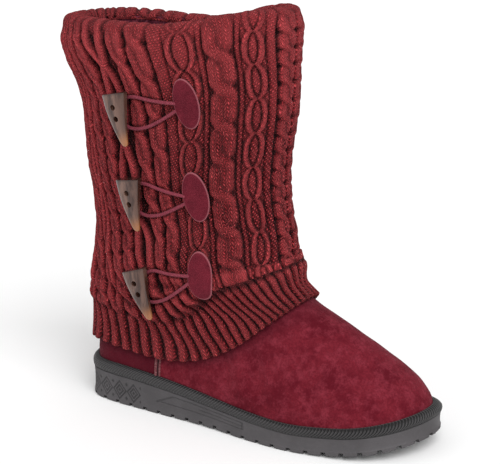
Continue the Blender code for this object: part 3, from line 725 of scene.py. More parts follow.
# How far the columns are pulled towards the front, in mm, at four places round the leg.
knitPull = (
    # rise, at 45, at 92, at 128, at 175
    (0.10, 10.0, 16.0, 8.0, 6.0),
    (0.20, 12.0, 17.0, 6.0, 5.0),
    (0.33, 8.0, 14.0, 4.0, 2.0),
    (0.50, 3.0, 7.0, 1.0, 1.0),
    (0.70, 0.0, 0.0, 0.0, 0.0),
    (0.85, -5.0, -4.0, 0.0, -2.0),
    (0.95, -12.0, -8.0, -3.0, -2.0),
    (1.00, -14.0, -9.0, -4.0, -2.0),
)
pullPlaces = (0.0, 45.0, 92.0, 128.0, 175.0, knit["halfRound"])


def dome(distance):
    return np.sqrt(np.clip(1 - distance ** 2, 0.0, 1.0))


def blurred(grid, reach):
    # Soft average over the neighbours, round the leg and up it.
    cells = range(-2 * reach, 2 * reach + 1)
    weights = np.array([math.exp(-0.5 * (c / reach) ** 2) for c in cells])
    weights /= weights.sum()
    ring = grid[:, :-1]
    ring = sum(w * np.roll(ring, c, axis=1) for c, w in zip(cells, weights))
    ring = np.concatenate([ring, ring[:, :1]], axis=1)
    rows = np.arange(len(grid))
    return sum(w * ring[np.clip(rows + c, 0, len(grid) - 1)] for c, w in zip(cells, weights))


def knitPattern(along, rise, wander):
    # Height in mm, share of purl, and how far the stitches slide sideways with their strand.
    still = np.zeros(rise.shape)
    pulls = [still] + [readRows(knitPull, rise, n) for n in (1, 2, 3, 4)] + [still]
    pull = still
    for n in range(len(pulls) - 1):
        t = np.clip((along - pullPlaces[n]) / (pullPlaces[n + 1] - pullPlaces[n]), 0, 1)
        inside = (along >= pullPlaces[n]) & (along <= pullPlaces[n + 1])
        pull = np.where(inside, pulls[n] + (pulls[n + 1] - pulls[n]) * t, pull)
    place = along - pull + wander * ramp(along, 0, 8) * (1 - ramp(along, 195, knit["halfRound"]))
    height = np.full(rise.shape, -0.3)
    purl = np.ones(rise.shape)
    slide = np.zeros(rise.shape)
    for start, end, kind, step, first, tall in knitColumns:
        half = (end - start) / 2
        x = place - (start + end) / 2
        inside = np.abs(x) < half + 0.6
        turn = (rise - first) / step + wander * 0.04
        whole = np.floor(turn)
        part = turn - whole
        if kind == "rope":
            swing = math.pi * (whole + ramp(part, 0.08, 0.92))
            sway = 0.43 - 0.012 * half
            thick = (0.99 - sway) * half
            strands = ((sway * half * np.cos(swing), 0.60 * np.sin(swing)),
                       (-sway * half * np.cos(swing), -0.60 * np.sin(swing)))
            ground = -1.2
        elif kind == "chain":
            openness = np.abs(np.sin(math.pi * turn)) ** 0.42
            thick = 2.1
            strands = (((half - thick - 0.6) * openness + 0.6, 0.2 * np.cos(math.pi * turn)),
                       (-(half - thick - 0.6) * openness - 0.6, -0.2 * np.cos(math.pi * turn)))
            ground = None
        else:
            openness = np.abs(np.sin(math.pi * turn)) ** 0.9
            thick = min(0.42 * half, 2.6)
            strands = (((half - thick) * openness, 0.5 * np.cos(math.pi * turn)),
                       (-(half - thick) * openness, -0.5 * np.cos(math.pi * turn)))
            ground = -2.6
        best = np.full(rise.shape, -9.0)
        for centre, lift in strands:
            near = (x - centre) / thick
            body = np.where(np.abs(near) < 1, (tall + 0.9) * dome(near) ** 0.85 - 0.9 + lift, -9.0)
            slide = np.where(inside & (body > best), centre, slide)
            best = np.maximum(best, body)
        onStrand = best > -0.8
        if ground is None:
            within = np.abs(x) < (half - thick) * openness
            edge = np.minimum(np.abs(x - strands[0][0]), np.abs(x - strands[1][0])) / thick
            dip = hump(edge, 1.0, 0.9)
            floorHeight = np.where(within, 0.5 - 1.9 * dip, -0.1 - 0.8 * dip)
        else:
            floorHeight = np.full(rise.shape, ground)
        here = np.maximum(best, floorHeight)
        height = np.where(inside, here, height)
        purl = np.where(inside & onStrand, 0.0, purl)
        rim = hump(np.abs(x), half + 0.5, 1.3)
        height = height - 1.5 * np.where(np.abs(x) < half + 1.8, rim, 0.0)
    return height, purl, slide


def pressed(points, height):
    # The knit lies flatter under the patches, cords and toggles.
    limit = np.full(height.shape, 9.0)
    outerSide = points[..., 1] < 0
    place = points[..., 0] + boot["heelCentre"]
    for patchPlace, patchHeight, togglePlace, toggleHeight, _ in fasteningSpots():
        x, z = leaned(place - patchPlace, points[..., 2] - patchHeight, -fastening["patchLean"])
        far = np.hypot(x / (fastening["patchWidth"] / 2), z / (fastening["patchHeight"] / 2))
        limit = np.where(outerSide, np.minimum(limit, 0.9 + 9.0 * ramp(far, 0.95, 1.6)), limit)
        way = [np.array(spot) for spot in cordWay(patchPlace, patchHeight, togglePlace, toggleHeight)]
        for x, z in smoothRoute(way, 5):
            gap = np.hypot(place - x, points[..., 2] - z)
            limit = np.where(outerSide, np.minimum(limit, 0.8 + 6.0 * ramp(gap, 0.0012, 0.0070)), limit)
    return np.minimum(height, limit)


def knitCover():
    columns, rows = knit["columns"], knit["rows"]
    turns = np.linspace(0, 2 * math.pi, columns * 4 + 1)
    ring = coverPoint(0.5, turns)
    steps = np.linalg.norm(np.diff(ring, axis=0), axis=1)
    gone = np.concatenate([[0], np.cumsum(steps)]) * 1000
    halfWay = gone[-1] / 2
    turn = np.interp(np.linspace(0, gone[-1], columns + 1), gone, turns)
    around = np.linspace(0, gone[-1], columns + 1)
    along = (halfWay - np.abs(around - halfWay)) * knit["halfRound"] / halfWay
    rises = np.linspace(0, 1, rows + 1)
    rise, angle = np.meshgrid(rises, turn, indexing="ij")
    body = coverPoint(rise, angle)
    outer, inner = body[-1], upperPoint(1.0, turn, -boot["upperWall"] - 0.0022)
    arc = np.linspace(0, math.pi, knit["rimRows"] + 1)[1:, None, None]
    middle, reach = (outer + inner) / 2, (outer - inner) / 2
    crest = (0.0042 + 0.0020 * hump(turnShare(turn), 0.0, 0.25))[:, None] * np.array([0, 0, 1.0])
    rim = middle + reach * np.cos(arc) + crest * np.sin(arc)
    inside = upperPoint(np.linspace(0.998, 0.990, 5)[:, None], turn[None, :], -boot["upperWall"] - 0.0022)
    lip = np.linspace(0, math.pi / 2, knit["lipRows"] + 1)[:-1, None, None]
    low, lowInside = body[0], coverPoint(0.0, turn, False)
    under = (low + lowInside) / 2
    hem = under + (low - under) * np.sin(lip) - np.array([0, 0, 0.0010]) * np.cos(lip)
    tuck = coverPoint(np.array([0.03, 0.01])[:, None], turn[None, :], False)
    base = np.concatenate([tuck, hem, body, rim, inside])
    outwards = gridNormals(base)
    count = len(base)
    first = len(tuck) + len(hem)
    path = np.linalg.norm(np.diff(base, axis=0), axis=-1)
    path = np.concatenate([np.zeros((1, columns + 1)), np.cumsum(path, axis=0)]) * 1000
    up = path - path[first]
    # The pattern runs on over the rim as if the rise went on.
    over = np.maximum(np.arange(count) - first - rows, 0) * 0.006
    riseAll = np.clip((np.arange(count) - first) / rows, 0.0, 1.0) + over
    alongAll = np.broadcast_to(along, up.shape)
    riseGrid = np.broadcast_to(riseAll[:, None], up.shape)
    wander = softNoise(base, 0.034)
    height, purl, slide = knitPattern(alongAll, riseGrid, 1.6 * wander)

    # Ribbed hem, its ribs fanning out at the front
    ribs = alongAll / knit["halfRound"] * knit["ribs"]
    ribs = ribs + 0.10 * np.sin(up / 6.0 + alongAll / 9.0) + 0.10 * wander
    ribPart = np.abs((ribs % 1.0) - 0.5) * 2
    ribHeight = 1.8 * dome(np.clip(ribPart / 0.72, 0, 1)) ** 0.7 - 1.3 - 0.7 * hump(ribPart, 1.0, 0.30)
    share = turnShare(np.broadcast_to(turn, up.shape))
    ribTop = knit["ribTop"] - 0.030 * ramp(share, 0.55, 1.0)
    ribbed = 1 - ramp(riseGrid, ribTop - 0.010, ribTop + 0.010)
    height = height * (1 - ribbed) + ribHeight * ribbed
    purl = purl * (1 - ribbed) + ribbed * ramp(ribPart, 0.70, 0.85)
    slide = slide * (1 - ribbed)

    # The fold above the ribs, gathers behind it, and low puckers all over
    front = ramp(share, 0.30, 0.75)
    fold = hump(riseGrid + 0.005 * wander, ribTop + 0.002, 0.018)
    height -= 1.4 * fold * (0.30 + 0.70 * front)
    height += 1.6 * hump(riseGrid, ribTop + 0.040, 0.030) * front
    height += 0.8 * wander
    height += 0.45 * softNoise(base, 0.0042) * (1 - 0.5 * ribbed)
    gather = hump(riseGrid, ribTop + 0.07, 0.08) * (1 - ramp(share, 0.45, 0.75))
    height += 1.4 * gather * np.sin(up / 3.0 + alongAll / 6.0 + 2.5 * wander)
    order = np.arange(count)
    ends = ramp(order, 1, first) * (1 - ramp(order, count - 5, count - 1))
    calm = 1 - 0.70 * ramp(riseGrid, 0.955, 1.01)
    height = pressed(base, height) * calm * ends[:, None]
    # Marks for the yarn's colour: painted shade in the hollows of the relief and a painted shadow under the
    # fold, and a painted highlight on the raised parts
    hollow = blurred(height, 3) - height
    deep = np.clip(hollow * 0.70 + 0.02, 0, 1)
    deep = np.maximum(deep, 0.50 * fold * (0.15 + 0.85 * front))
    crownHighlight = np.clip(-hollow * 0.8, 0, 1)
    points = base + outwards * height[..., None] / 1000
    lipFall = 0.0032 * front * hump(riseGrid, ribTop + 0.026, 0.022)
    points[..., 2] -= lipFall
    # The collar sags a little in the middle of the inner side
    sag = np.where(base[..., 1] < 0, 0.0002, 0.0032) * hump(share, 0.52, 0.42)
    points[..., 2] -= sag * ramp(riseGrid, 0.78, 1.0)
    points[:, -1] = points[:, 0]
    scallop = 0.0010 * (1 - ribPart) * (1 - ramp(riseGrid, 0.0, 0.03))
    points[..., 2] -= scallop
    knit["around"] = gone[-1]
    marks = {"purl": purl, "slide": slide / knit["stitchWidth"], "deep": deep, "crownHighlight": crownHighlight, "upMm": up,
             "ribbed": ribbed, "ribWales": ribs * 2}
    return wrappedGrid(columns, count - 1, points, marks=marks)


knitMesh = knitCover()
yarn = Finish("knitYarn", Roughness=0.95, Specular_IOR_Level=0.10, Sheen_Weight=0.08, Sheen_Roughness=0.4,
              Sheen_Tint=(0.95, 0.40, 0.42, 1.0))
purlMark = yarn.attribute("purl")
wales = yarn.across() * round(knit["around"] / knit["stitchWidth"]) - yarn.attribute("slide")
courses = yarn.attribute("upMm") / knit["stitchHeight"]
wales = wales + (yarn.attribute("ribWales") - wales) * yarn.attribute("ribbed")
wales = wales + (yarn.noise(120.0, 1.0) - 0.5) * 0.8
courses = courses + (yarn.noise(150.0, 1.0) - 0.5) * 1.0
fromMiddle = abs(yarn.maths("FRACT", wales) - 0.5)
leg = 0.5 + 0.5 * yarn.maths("SINE", (courses - fromMiddle * 2.3) * (2 * math.pi))
plain = leg * (1 - abs(fromMiddle * 4 - 1) ** 2.0) ** 0.7
fineWales, fineCourses = wales * 1.55, courses * 1.5
row = yarn.maths("FLOOR", fineCourses)
pearl = abs(yarn.maths("SINE", fineCourses * math.pi))
pearl = pearl * (0.5 + 0.5 * yarn.maths("SINE", (fineWales + row * 0.5) * (2 * math.pi)))
stitch = plain * (1 - purlMark) + pearl * purlMark
fuzz = yarn.noise(900.0, 3.0, 0.6)
fleck = yarn.mottle(0.42, 0.60, 330.0, 2.0, 0.6, stretch=(1.0, 1.0, 0.6))
drift = yarn.mottle(0.3, 0.7, 30.0, 3.0, 0.5)
high = yarn.node("ShaderNodeSeparateXYZ", None, {0: yarn.place()}, 2)
tone = yarn.layers(
    knit["dark"],
    # Painted shade in the gaps between stitches and a painted highlight on the stitch tops, broken up by the
    # marl's flecks
    (yarn.spread(stitch, 0.12, 0.56), knit["colour"]),
    (yarn.spread(stitch, 0.45, 0.95) * (0.18 + 0.80 * fleck), knit["light"]),
    (yarn.spread(fuzz, 0.46, 0.60) * 0.40, knit["dark"]),
    (yarn.mottle(0.54, 0.66, 520.0, 2.0, 0.7) * 0.42, knit["dark"]),
    # Painted highlight on the raised parts, with some random lighter drift in the yarn
    (yarn.attribute("crownHighlight") * 0.36 + drift * 0.10, knit["light"]),
    # Painted light and shade: the knit lighter higher up the leg and darker low down by the hem
    (yarn.spread(high, 0.20, 0.31) * 0.24, knit["light"]),
    ((1 - yarn.spread(high, 0.04, 0.13)) * 0.16, knit["dark"]),
    # Painted shade in the hollows and a painted shadow under the fold
    (yarn.attribute("deep"), knit["groove"]),
)
yarn.wear("Base Color", tone)
yarn.bump(stitch + fuzz * 0.3, 0.0018, 1.0)
finished("knitSleeve", knitMesh, yarn, ("knit_sleeve",))
print("knitted cover is made")


# Fleece lining, down the inside of the shaft to the footbed
lining = {
    "columns": 180,
    "rows": 110,
    "thickness": 0.0026,
    "bedThickness": 0.0050,
    "top": 0.997,
    "colour": colour(116, 48, 63),
    "light": colour(158, 92, 104),
    "deep": colour(70, 22, 36),
}


def fleeceSkin():
    turns = np.linspace(0, 2 * math.pi, lining["columns"] + 1)
    height, angle = np.meshgrid(np.linspace(0.02, lining["top"], lining["rows"] + 1), turns, indexing="ij")
    base = upperPoint(height, angle, -boot["upperWall"] - lining["thickness"] * 0.6)
    relief = softNoise(base, 0.006)
    relief += 0.6 * softNoise(base, 0.003, 1)
    points = base + gridNormals(base) * relief[..., None] * lining["thickness"] * 0.35
    points[:, -1] = points[:, 0]
    return wrappedGrid(lining["columns"], lining["rows"], points, flip=True)


fleece = Finish("fleeceLining", Roughness=0.97, Specular_IOR_Level=0.1, Sheen_Weight=0.10,
                Sheen_Roughness=0.5, Sheen_Tint=(0.80, 0.40, 0.50, 1.0))
pile = fleece.noise(420.0, 4.0, 0.65)
tuft = fleece.mottle(0.36, 0.66, 130.0, 3.0, 0.6)
tone = fleece.layers(
    lining["deep"],
    (tuft * 0.7, lining["colour"]),
    (fleece.spread(pile, 0.5, 0.72) * 0.6, lining["light"]),
)
fleece.wear("Base Color", tone)
fleece.bump(pile + tuft, 0.0016, 0.9)
finished("fleeceLining", fleeceSkin(), fleece)


def towardsSpine(edge, middle, share):
    # Ring of points between the middle line (0) and the edge (1), at the edge's height.
    points = middle + (edge - middle) * share
    points[:, 2] = edge[:, 2]
    return points


def footbed():
    turns = np.linspace(0, 2 * math.pi, 161)
    turns[81:] = 2 * math.pi - turns[79::-1]
    edge = upperPoint(0.012, turns, -(boot["upperWall"] + boot["fitGap"]))
    middle = sectionPoint(0.012 + 0 * turns, turns)
    middle[:, 1] = planSides(turns)[1]
    place = middle[:, 0] + boot["heelCentre"]
    rows = []
    for share, lift in ((0.0, 0.0), (0.6, 0.0), (0.985, 0.0), (1.0, 0.12), (1.0, 0.62), (0.975, 0.90),
                        (0.92, 1.0), (0.75, 1.03), (0.5, 1.03), (0.25, 1.03), (0.0, 1.03)):
        point = towardsSpine(edge, middle, share)
        point[:, 2] = seatHeight(place) + boot["fitGap"] + lining["bedThickness"] * lift
        if 0.2 < share < 0.95 and lift > 0.5:
            point[:, 2] += 0.0004 * softNoise(point, 0.008)
        rows.append(point)
    points = joined(rows)
    bm = wrappedGrid(160, len(rows) - 1, points)
    bmesh.ops.recalc_face_normals(bm, faces=bm.faces)
    return bm


finished("fleeceFootbed", footbed(), fleece, ("insole",), 50)
print("lining and footbed are made")


# Binding tape: share of its height, share of the way from the upper to the outline
tapeSection = (
    (0.12, 0.0), (0.12, 0.45), (0.12, 0.84), (0.20, 0.97), (0.32, 1.00), (0.48, 1.03), (0.62, 1.00),
    (0.76, 0.86), (0.88, 0.64), (0.96, 0.42), (1.00, 0.22), (1.00, 0.08), (0.94, 0.0),
)


def shareAboveSeat(place, rise):
    low = seatHeight(place) + boot["fitGap"]
    return rise / (collarHeight(place) - low)


def bindingTape():
    turns = np.linspace(0, 2 * math.pi, tape["columns"] * 4 + 1)
    ring = outlinePoint(turns, 0.0, 0.0)
    gone = np.concatenate([[0], np.cumsum(np.linalg.norm(np.diff(ring, axis=0), axis=1))])
    turn = np.interp(np.linspace(0, gone[-1], tape["columns"] + 1), gone, turns)
    tape["around"] = gone[-1]
    place = boot["soleLength"] * turnShare(turn)
    rows = []
    for share, way in tapeSection:
        rise = share * tapeHeight(place)
        inner = upperPoint(shareAboveSeat(place, rise), turn, 0.0002)
        outer = outlinePoint(turn, tape["proud"], seatHeight(place) + 0.0003 + rise)
        point = inner + (outer - inner) * way
        point[:, 2] = outer[:, 2]
        rows.append(point)
    points = joined(rows)
    wave = softNoise(points, 0.02)
    points[2:-2] += gridNormals(points)[2:-2] * (wave[2:-2, :, None] * 0.00025)
    heights = np.array([np.full(turn.shape, row[0]) for row in tapeSection])
    toes = np.broadcast_to(ramp(place, 0.17, 0.235), heights.shape)
    return wrappedGrid(tape["columns"], len(rows) - 1, points, marks={"upShare": heights, "toes": toes})


tapeMesh = bindingTape()
twill = Finish("bindingTwill", Roughness=0.9, Specular_IOR_Level=0.25, Sheen_Weight=0.15)
fromMiddle = abs(twill.attribute("upShare") - 0.24)
turns = twill.across() * round(tape["around"] / tape["ribPitch"])
rib = twill.maths("SINE", (turns - fromMiddle * tape["ribSlope"]) * (2 * math.pi))
rib = twill.spread(rib, -0.55, 0.40)
line = twill.spread(fromMiddle, 0.0, 0.04)
threads = twill.noise(1500.0, 2.0, 0.6)
shown = 1 - (1 - rib * line) * (0.45 + 0.55 * twill.attribute("toes"))
tone = twill.layers(
    tape["dark"],
    (shown, tape["colour"]),
    (twill.spread(threads, 0.5, 0.75) * 0.3, tape["light"]),
    # Painted shadow: the tape's top edge darkened, for the gap under the suede
    (twill.spread(twill.attribute("upShare"), 0.78, 0.96) * 0.9, tape["dark"]),
)
twill.wear("Base Color", tone)
twill.bump(rib * line + threads * 0.2, 0.0006, 0.9)
finished("bindingTape", tapeMesh, twill, ("binding",), 60)
print("binding is made")


# Outsole: its wall, edge lugs, channel and middle, drawn finely
sole = {
    "notchColumns": 20,
    "bulge": 0.0004,
    "rim": 0.0009,
    "chamfer": 0.0010,
    "lugDepth": 0.0027,
    "lugLength": 0.0085,
    "groove": 0.0030,
    "notchPitch": 0.0131,
    "colour": colour(76, 73, 75),
    "dark": colour(62, 60, 61),
    "light": colour(96, 93, 95),
    "black": colour(20, 19, 20),
}


def evenTurns(count):
    # Angles at even steps round the outline, alike on both sides, and the steps' length in mm.
    fine = np.linspace(0, math.pi, 2001)
    sides = [outlinePoint(turn, 0.0, 0.0) for turn in (fine, 2 * math.pi - fine)]
    steps = sum(np.linalg.norm(np.diff(side, axis=0), axis=1) for side in sides) / 2
    gone = np.concatenate([[0], np.cumsum(steps)])
    half = np.interp(np.linspace(0, gone[-1], count // 2 + 1), gone, fine)
    return np.concatenate([half, 2 * math.pi - half[-2::-1]]), gone[-1] * 2000


def outsoleBlock():
    count = round(evenTurns(4)[1] / 1000 / sole["notchPitch"])
    columns = count * sole["notchColumns"]
    turn, long = evenTurns(columns)
    part = np.arange(columns + 1) / sole["notchColumns"] % 1.0
    notch = np.abs(part - 0.5) < sole["groove"] / sole["notchPitch"] / 2
    place = boot["soleLength"] * turnShare(turn)
    tread, seat = treadHeight(place), seatHeight(place) + sole["rim"]
    cut = np.where(notch, sole["lugDepth"], 0.0)
    roof = tread + sole["lugDepth"]
    inner = -(sole["lugLength"] + sole["groove"])
    edge = seat - sole["chamfer"]
    top = outlinePoint(turn, -sole["chamfer"], seat)
    middle = np.stack([place - boot["heelCentre"], planSides(turn)[1], seat], -1)
    rows = [
        towardsSpine(top, middle, 0.0),
        towardsSpine(top, middle, 0.6),
        top,
        outlinePoint(turn, -0.0003, seat - sole["chamfer"] * 0.35),
        outlinePoint(turn, 0.0, edge),
    ]
    for share in np.linspace(0.0, 1.0, 11)[1:-1]:
        swell = sole["bulge"] * math.sin(math.pi * share)
        rows.append(outlinePoint(turn, -swell, edge - share * (edge - roof)))
    rows.append(outlinePoint(turn, 0.0003, roof + 0.0004))
    lugStart = len(rows)
    rows.append(outlinePoint(turn, 0.0003, np.where(notch, roof, tread + sole["chamfer"])))
    rows.append(outlinePoint(turn, -sole["chamfer"] * 0.6, tread + cut))
    rows.append(outlinePoint(turn, -sole["lugLength"], tread + cut))
    rows.append(outlinePoint(turn, -sole["lugLength"], roof))
    rows.append(outlinePoint(turn, inner, roof))
    rows.append(outlinePoint(turn, inner - 0.0002, tread))
    last = rows[-1]
    for share in (0.7, 0.35, 0.0):
        rows.append(towardsSpine(last, middle, share))
    points = joined(rows)
    around = np.minimum(np.linspace(0, long, columns + 1), np.linspace(long, 0, columns + 1))
    spread = np.ones((len(rows), 1))
    up = (points[..., 2] - tread) / (seat - tread)
    # Painted shade: the notches and the sole's underside darkened, for the shade in and under them
    dark = np.zeros(up.shape)
    dark[lugStart:lugStart + 2] = np.where(notch, 1.0, 0.0)
    dark[lugStart + 2:] = 0.95
    marks = {"aroundMm": spread * around, "placeMm": spread * place * 1000, "upShare": up, "notch": dark}
    bm = wrappedGrid(columns, len(rows) - 1, points, marks=marks)
    bmesh.ops.recalc_face_normals(bm, faces=bm.faces)
    return bm


rubber = Finish("soleRubber", Roughness=0.66, Specular_IOR_Level=0.3)


def strip(wire, centre, half):
    # 1 on a line, fading out at its sides.
    return 1 - rubber.spread(abs(wire - centre), half * 0.6, half * 1.4)


def stretchOf(wire, low, high):
    return rubber.maths("GREATER_THAN", wire, low) * rubber.maths("LESS_THAN", wire, high)


aroundMm, placeMm = rubber.attribute("aroundMm"), rubber.attribute("placeMm")
upShare = rubber.attribute("upShare")
# Heel: a plain row of diamonds and dots
acrossDiamond = abs(rubber.maths("FRACT", aroundMm / 13.6) - 0.5) * 2
upDiamond = abs(upShare - 0.50) * 2.9
diamond = acrossDiamond + upDiamond
motif = strip(diamond, 0.90, 0.10) + strip(diamond, 0.50, 0.10) + strip(diamond, 0.0, 0.18)
between = (1 - acrossDiamond) + abs(upDiamond - 0.72)
motif = (motif + strip(between, 0.0, 0.19)) * stretchOf(aroundMm, 0.0, 81.6) * stretchOf(upShare, 0.12, 0.88)
# Waist: a panel with ribs, pointed at the heel. Height of the line, half its width, from, to
slope = 0.46 + (placeMm - 75.0) * 0.024
panel = strip(placeMm, 155.0, 0.9) * stretchOf(upShare, 0.50, 0.84)
for middle, half, start, end in ((0.84, 0.022, 90.5, 155.5), (slope, 0.03, 75.0, 91.0),
                                 (0.66, 0.018, 115.0, 155.5), (0.50, 0.018, 79.0, 155.5)):
    panel = panel + strip(upShare, middle, half) * stretchOf(placeMm, start, end)
grain = rubber.noise(900.0, 3.0, 0.6)
haze = rubber.mottle(0.35, 0.7, 34.0, 4.0, 0.6)
tone = rubber.layers(
    sole["colour"],
    (haze * 0.5, sole["dark"]),
    (rubber.spread(grain, 0.5, 0.75) * 0.2, sole["light"]),
    (rubber.maths("MINIMUM", motif, 1.0) * 0.64, sole["black"]),
    (rubber.maths("MINIMUM", panel, 1.0) * 0.34, sole["black"]),
    # Painted shade in the notches and under the sole
    (rubber.attribute("notch") * 0.9, sole["black"]),
)
rubber.wear("Base Color", tone)
rubber.wear("Roughness", 0.58 + 0.2 * haze)
rubber.bump(grain * 0.3 - motif * 0.8 - panel * 0.8, 0.0006, 0.8)
finished("outsoleRubber", outsoleBlock(), rubber, ("outsole",), 32)
print("outsole is made")


# The fastenings' looks
patchFinish = Finish("patchSuede", Roughness=0.9, Specular_IOR_Level=0.1, Sheen_Weight=0.06,
                     Sheen_Roughness=0.4)
speck = patchFinish.mottle(0.35, 0.7, 1300.0, 2.0, 0.6)
soft = patchFinish.mottle(0.35, 0.7, 80.0, 3.0, 0.6)
tone = patchFinish.layers(
    fastening["patch"],
    (soft * 0.6, fastening["patchDeep"]),
    (speck * 0.3, fastening["patchLight"]),
    (patchFinish.attribute("cutEdge") * 0.6, fastening["patchEdge"]),
)
patchFinish.wear("Base Color", tone)
patchFinish.bump(speck, 0.0003, 0.7)

cordFinish = Finish("elasticCord", Roughness=0.8, Specular_IOR_Level=0.2, Sheen_Weight=0.05)
braid = cordFinish.noise(1300.0, 2.0, 0.6)
tone = cordFinish.layers(
    fastening["cordDark"],
    (cordFinish.spread(braid, 0.4, 0.7) * 0.6, fastening["cordLight"]),
)
cordFinish.wear("Base Color", tone)
cordFinish.bump(braid, 0.0003, 0.8)

horn = Finish("toggleHorn", Roughness=0.24, Specular_IOR_Level=0.30, Coat_Weight=0.40, Coat_Roughness=0.04)
streak = horn.noise(60.0, 4.0, 0.6, stretch=(3.0, 3.0, 0.5))
bands = horn.spread(streak, 0.38, 0.62)
tone = horn.layers(
    fastening["hornDark"],
    (bands, fastening["hornLight"]),
    (horn.mottle(0.55, 0.70, 190.0, 2.0, 0.5, stretch=(2.0, 2.0, 0.25)) * 0.6, fastening["hornStreak"]),
    # Painted shade: each toggle darker towards one side, as the light falls
    (horn.spread(horn.attribute("side"), -0.1, 0.95) * 0.55, fastening["hornShadedSide"]),
    (horn.attribute("tip") * 0.7, fastening["hornTip"]),
    (horn.attribute("cut"), fastening["hornCut"]),
)
horn.wear("Base Color", tone)
horn.wear("Roughness", 0.18 + 0.16 * bands)
horn.bump(streak, 0.0002, 0.3)


def patchDisc(place, height):
    turns = np.linspace(0, 2 * math.pi, 49)
    section = ((0.55, 0.0), (0.85, 0.0), (0.985, 0.05), (1.0, 0.35), (0.995, 0.75), (0.975, 1.0),
               (0.93, 1.06), (0.80, 1.02), (0.60, 1.05), (0.40, 1.10), (0.20, 1.12), (0.02, 1.12))
    rows, edges = [], []
    for size, out in section:
        along, up = leaned(size * fastening["patchWidth"] / 2 * np.cos(turns),
                           size * fastening["patchHeight"] / 2 * np.sin(turns), fastening["patchLean"])
        lift = fastening["patchLift"] + out * fastening["patchThickness"]
        rows.append(coverSpot(place + along, height + up, lift))
        edges.append(np.full(turns.shape, 1.0 if 0.03 < out < 1.05 and size > 0.96 else 0.0))
    points = joined(rows)
    bm = wrappedGrid(48, len(rows) - 1, points, marks={"cutEdge": np.array(edges)})
    return capped(bm)


def cordTube(route, radius, sides=10):
    # Sweeps a round section along the route.
    along = np.gradient(route, axis=0)
    along /= np.linalg.norm(along, axis=1, keepdims=True)
    side = np.cross(along, [0.0, -1.0, 0.1])
    side /= np.linalg.norm(side, axis=1, keepdims=True)
    over = np.cross(side, along)
    turns = np.linspace(0, 2 * math.pi, sides + 1)[None, :, None]
    around = side[:, None, :] * np.cos(turns) + over[:, None, :] * np.sin(turns)
    points = joined(route[:, None, :] + radius * around)
    bm = wrappedGrid(sides, len(route) - 1, points)
    return capped(bm)


def cordLoop(patchPlace, patchHeight, togglePlace, toggleHeight):
    lift = fastening["cordLift"] + boot["fitGap"] + fastening["cord"] / 2
    points = [coverSpot(x, z, lift) for x, z in cordWay(patchPlace, patchHeight, togglePlace, toggleHeight)]
    return cordTube(smoothRoute(points, 6), fastening["cord"] / 2)


def hornToggle(place, height, lean):
    middle = coverSpot(place, height)
    outwards = coverSpot(place, height, 0.01) - middle
    outwards /= np.linalg.norm(outwards)
    side, rise = leaned(0.0, 0.01, lean)
    up = coverSpot(place + side, height + rise) - middle
    up -= outwards * up.dot(outwards)
    up /= np.linalg.norm(up)
    across = np.cross(outwards, up)
    lift = boot["fitGap"] + fastening["toggleThickness"] / 2
    for crossing in (0.58, -0.32):
        above = crossing * fastening["loopOpening"]
        cord = coverSpot(place, height + above, boot["fitGap"] + fastening["cord"] + fastening["cordLift"])
        thick = readRows(toggleRows, 0.5 - above / fastening["toggleLength"], 1)
        thick = thick * fastening["toggleThickness"] / 2
        lift = max(lift, float((cord - middle).dot(outwards) + thick + boot["fitGap"]))
    shares = np.concatenate([[0.0, 0.0, 0.0, 0.012], np.linspace(0.05, 0.96, 16), [0.985, 0.998, 1.0]])
    inset = np.concatenate([[0.02, 0.6, 0.93, 1.0], np.ones(16), [0.80, 0.45, 0.02]])
    cut = np.concatenate([[1.0, 1.0, 1.0, 0.5], np.zeros(19)])
    turns = np.linspace(0, 2 * math.pi, 41)
    rows, tips, cuts, sides = [], [], [], []
    for n, share in enumerate(shares):
        width = readRows(toggleRows, share, 1) * inset[n]
        centre = middle + outwards * lift + up * ((0.5 - share) * fastening["toggleLength"])
        centre = centre + across * readRows(toggleRows, share, 2) * fastening["toggleBow"]
        wide, deep = np.cos(turns), np.sin(turns)
        wide = np.sign(wide) * np.abs(wide) ** 0.62
        deep = np.sign(deep) * np.abs(deep) ** 0.80
        ring = (centre + across * (width * fastening["toggleWidth"] / 2 * wide)[:, None]
                + outwards * (width * fastening["toggleThickness"] / 2 * deep)[:, None])
        rows.append(ring)
        tips.append(np.full(turns.shape, float(ramp(share, 0.66, 0.98))))
        cuts.append(np.full(turns.shape, cut[n]))
        # side: from -1 at one edge to 1 at the other, for the painted shade down one side
        sides.append(-np.cos(turns))
    points = joined(rows)
    marks = {"tip": np.array(tips), "cut": np.array(cuts), "side": np.array(sides)}
    bm = wrappedGrid(40, len(rows) - 1, points, marks=marks)
    capped(bm)
    drills = bmesh.new()
    for hole in (0.25, 0.47):
        made = bmesh.ops.create_cone(drills, cap_ends=True, segments=20, radius1=fastening["toggleHole"] / 2,
                                     radius2=fastening["toggleHole"] / 2, depth=0.03)["verts"]
        turn = Vector((0, 0, 1)).rotation_difference(Vector(outwards)).to_matrix()
        bmesh.ops.rotate(drills, verts=made, matrix=turn, cent=(0, 0, 0))
        spot = middle + outwards * lift + up * ((0.5 - hole) * fastening["toggleLength"])
        bmesh.ops.translate(drills, verts=made, vec=Vector(spot))
    return bm, drills


def drilled(piece, drills):
    # Cuts the holes and keeps the result as the piece's own mesh.
    mesh = bpy.data.meshes.new("drill")
    drills.to_mesh(mesh)
    drills.free()
    drill = bpy.data.objects.new("drill", mesh)
    studio.objects.link(drill)
    cut = piece.modifiers.new("holes", "BOOLEAN")
    cut.operation = "DIFFERENCE"
    cut.solver = "EXACT"
    cut.object = drill
    graph = bpy.context.evaluated_depsgraph_get()
    made = bpy.data.meshes.new_from_object(piece.evaluated_get(graph))
    piece.modifiers.clear()
    piece.data = made
    made.shade_smooth()
    made.set_sharp_from_angle(angle=math.radians(40))
    bpy.data.objects.remove(drill, do_unlink=True)


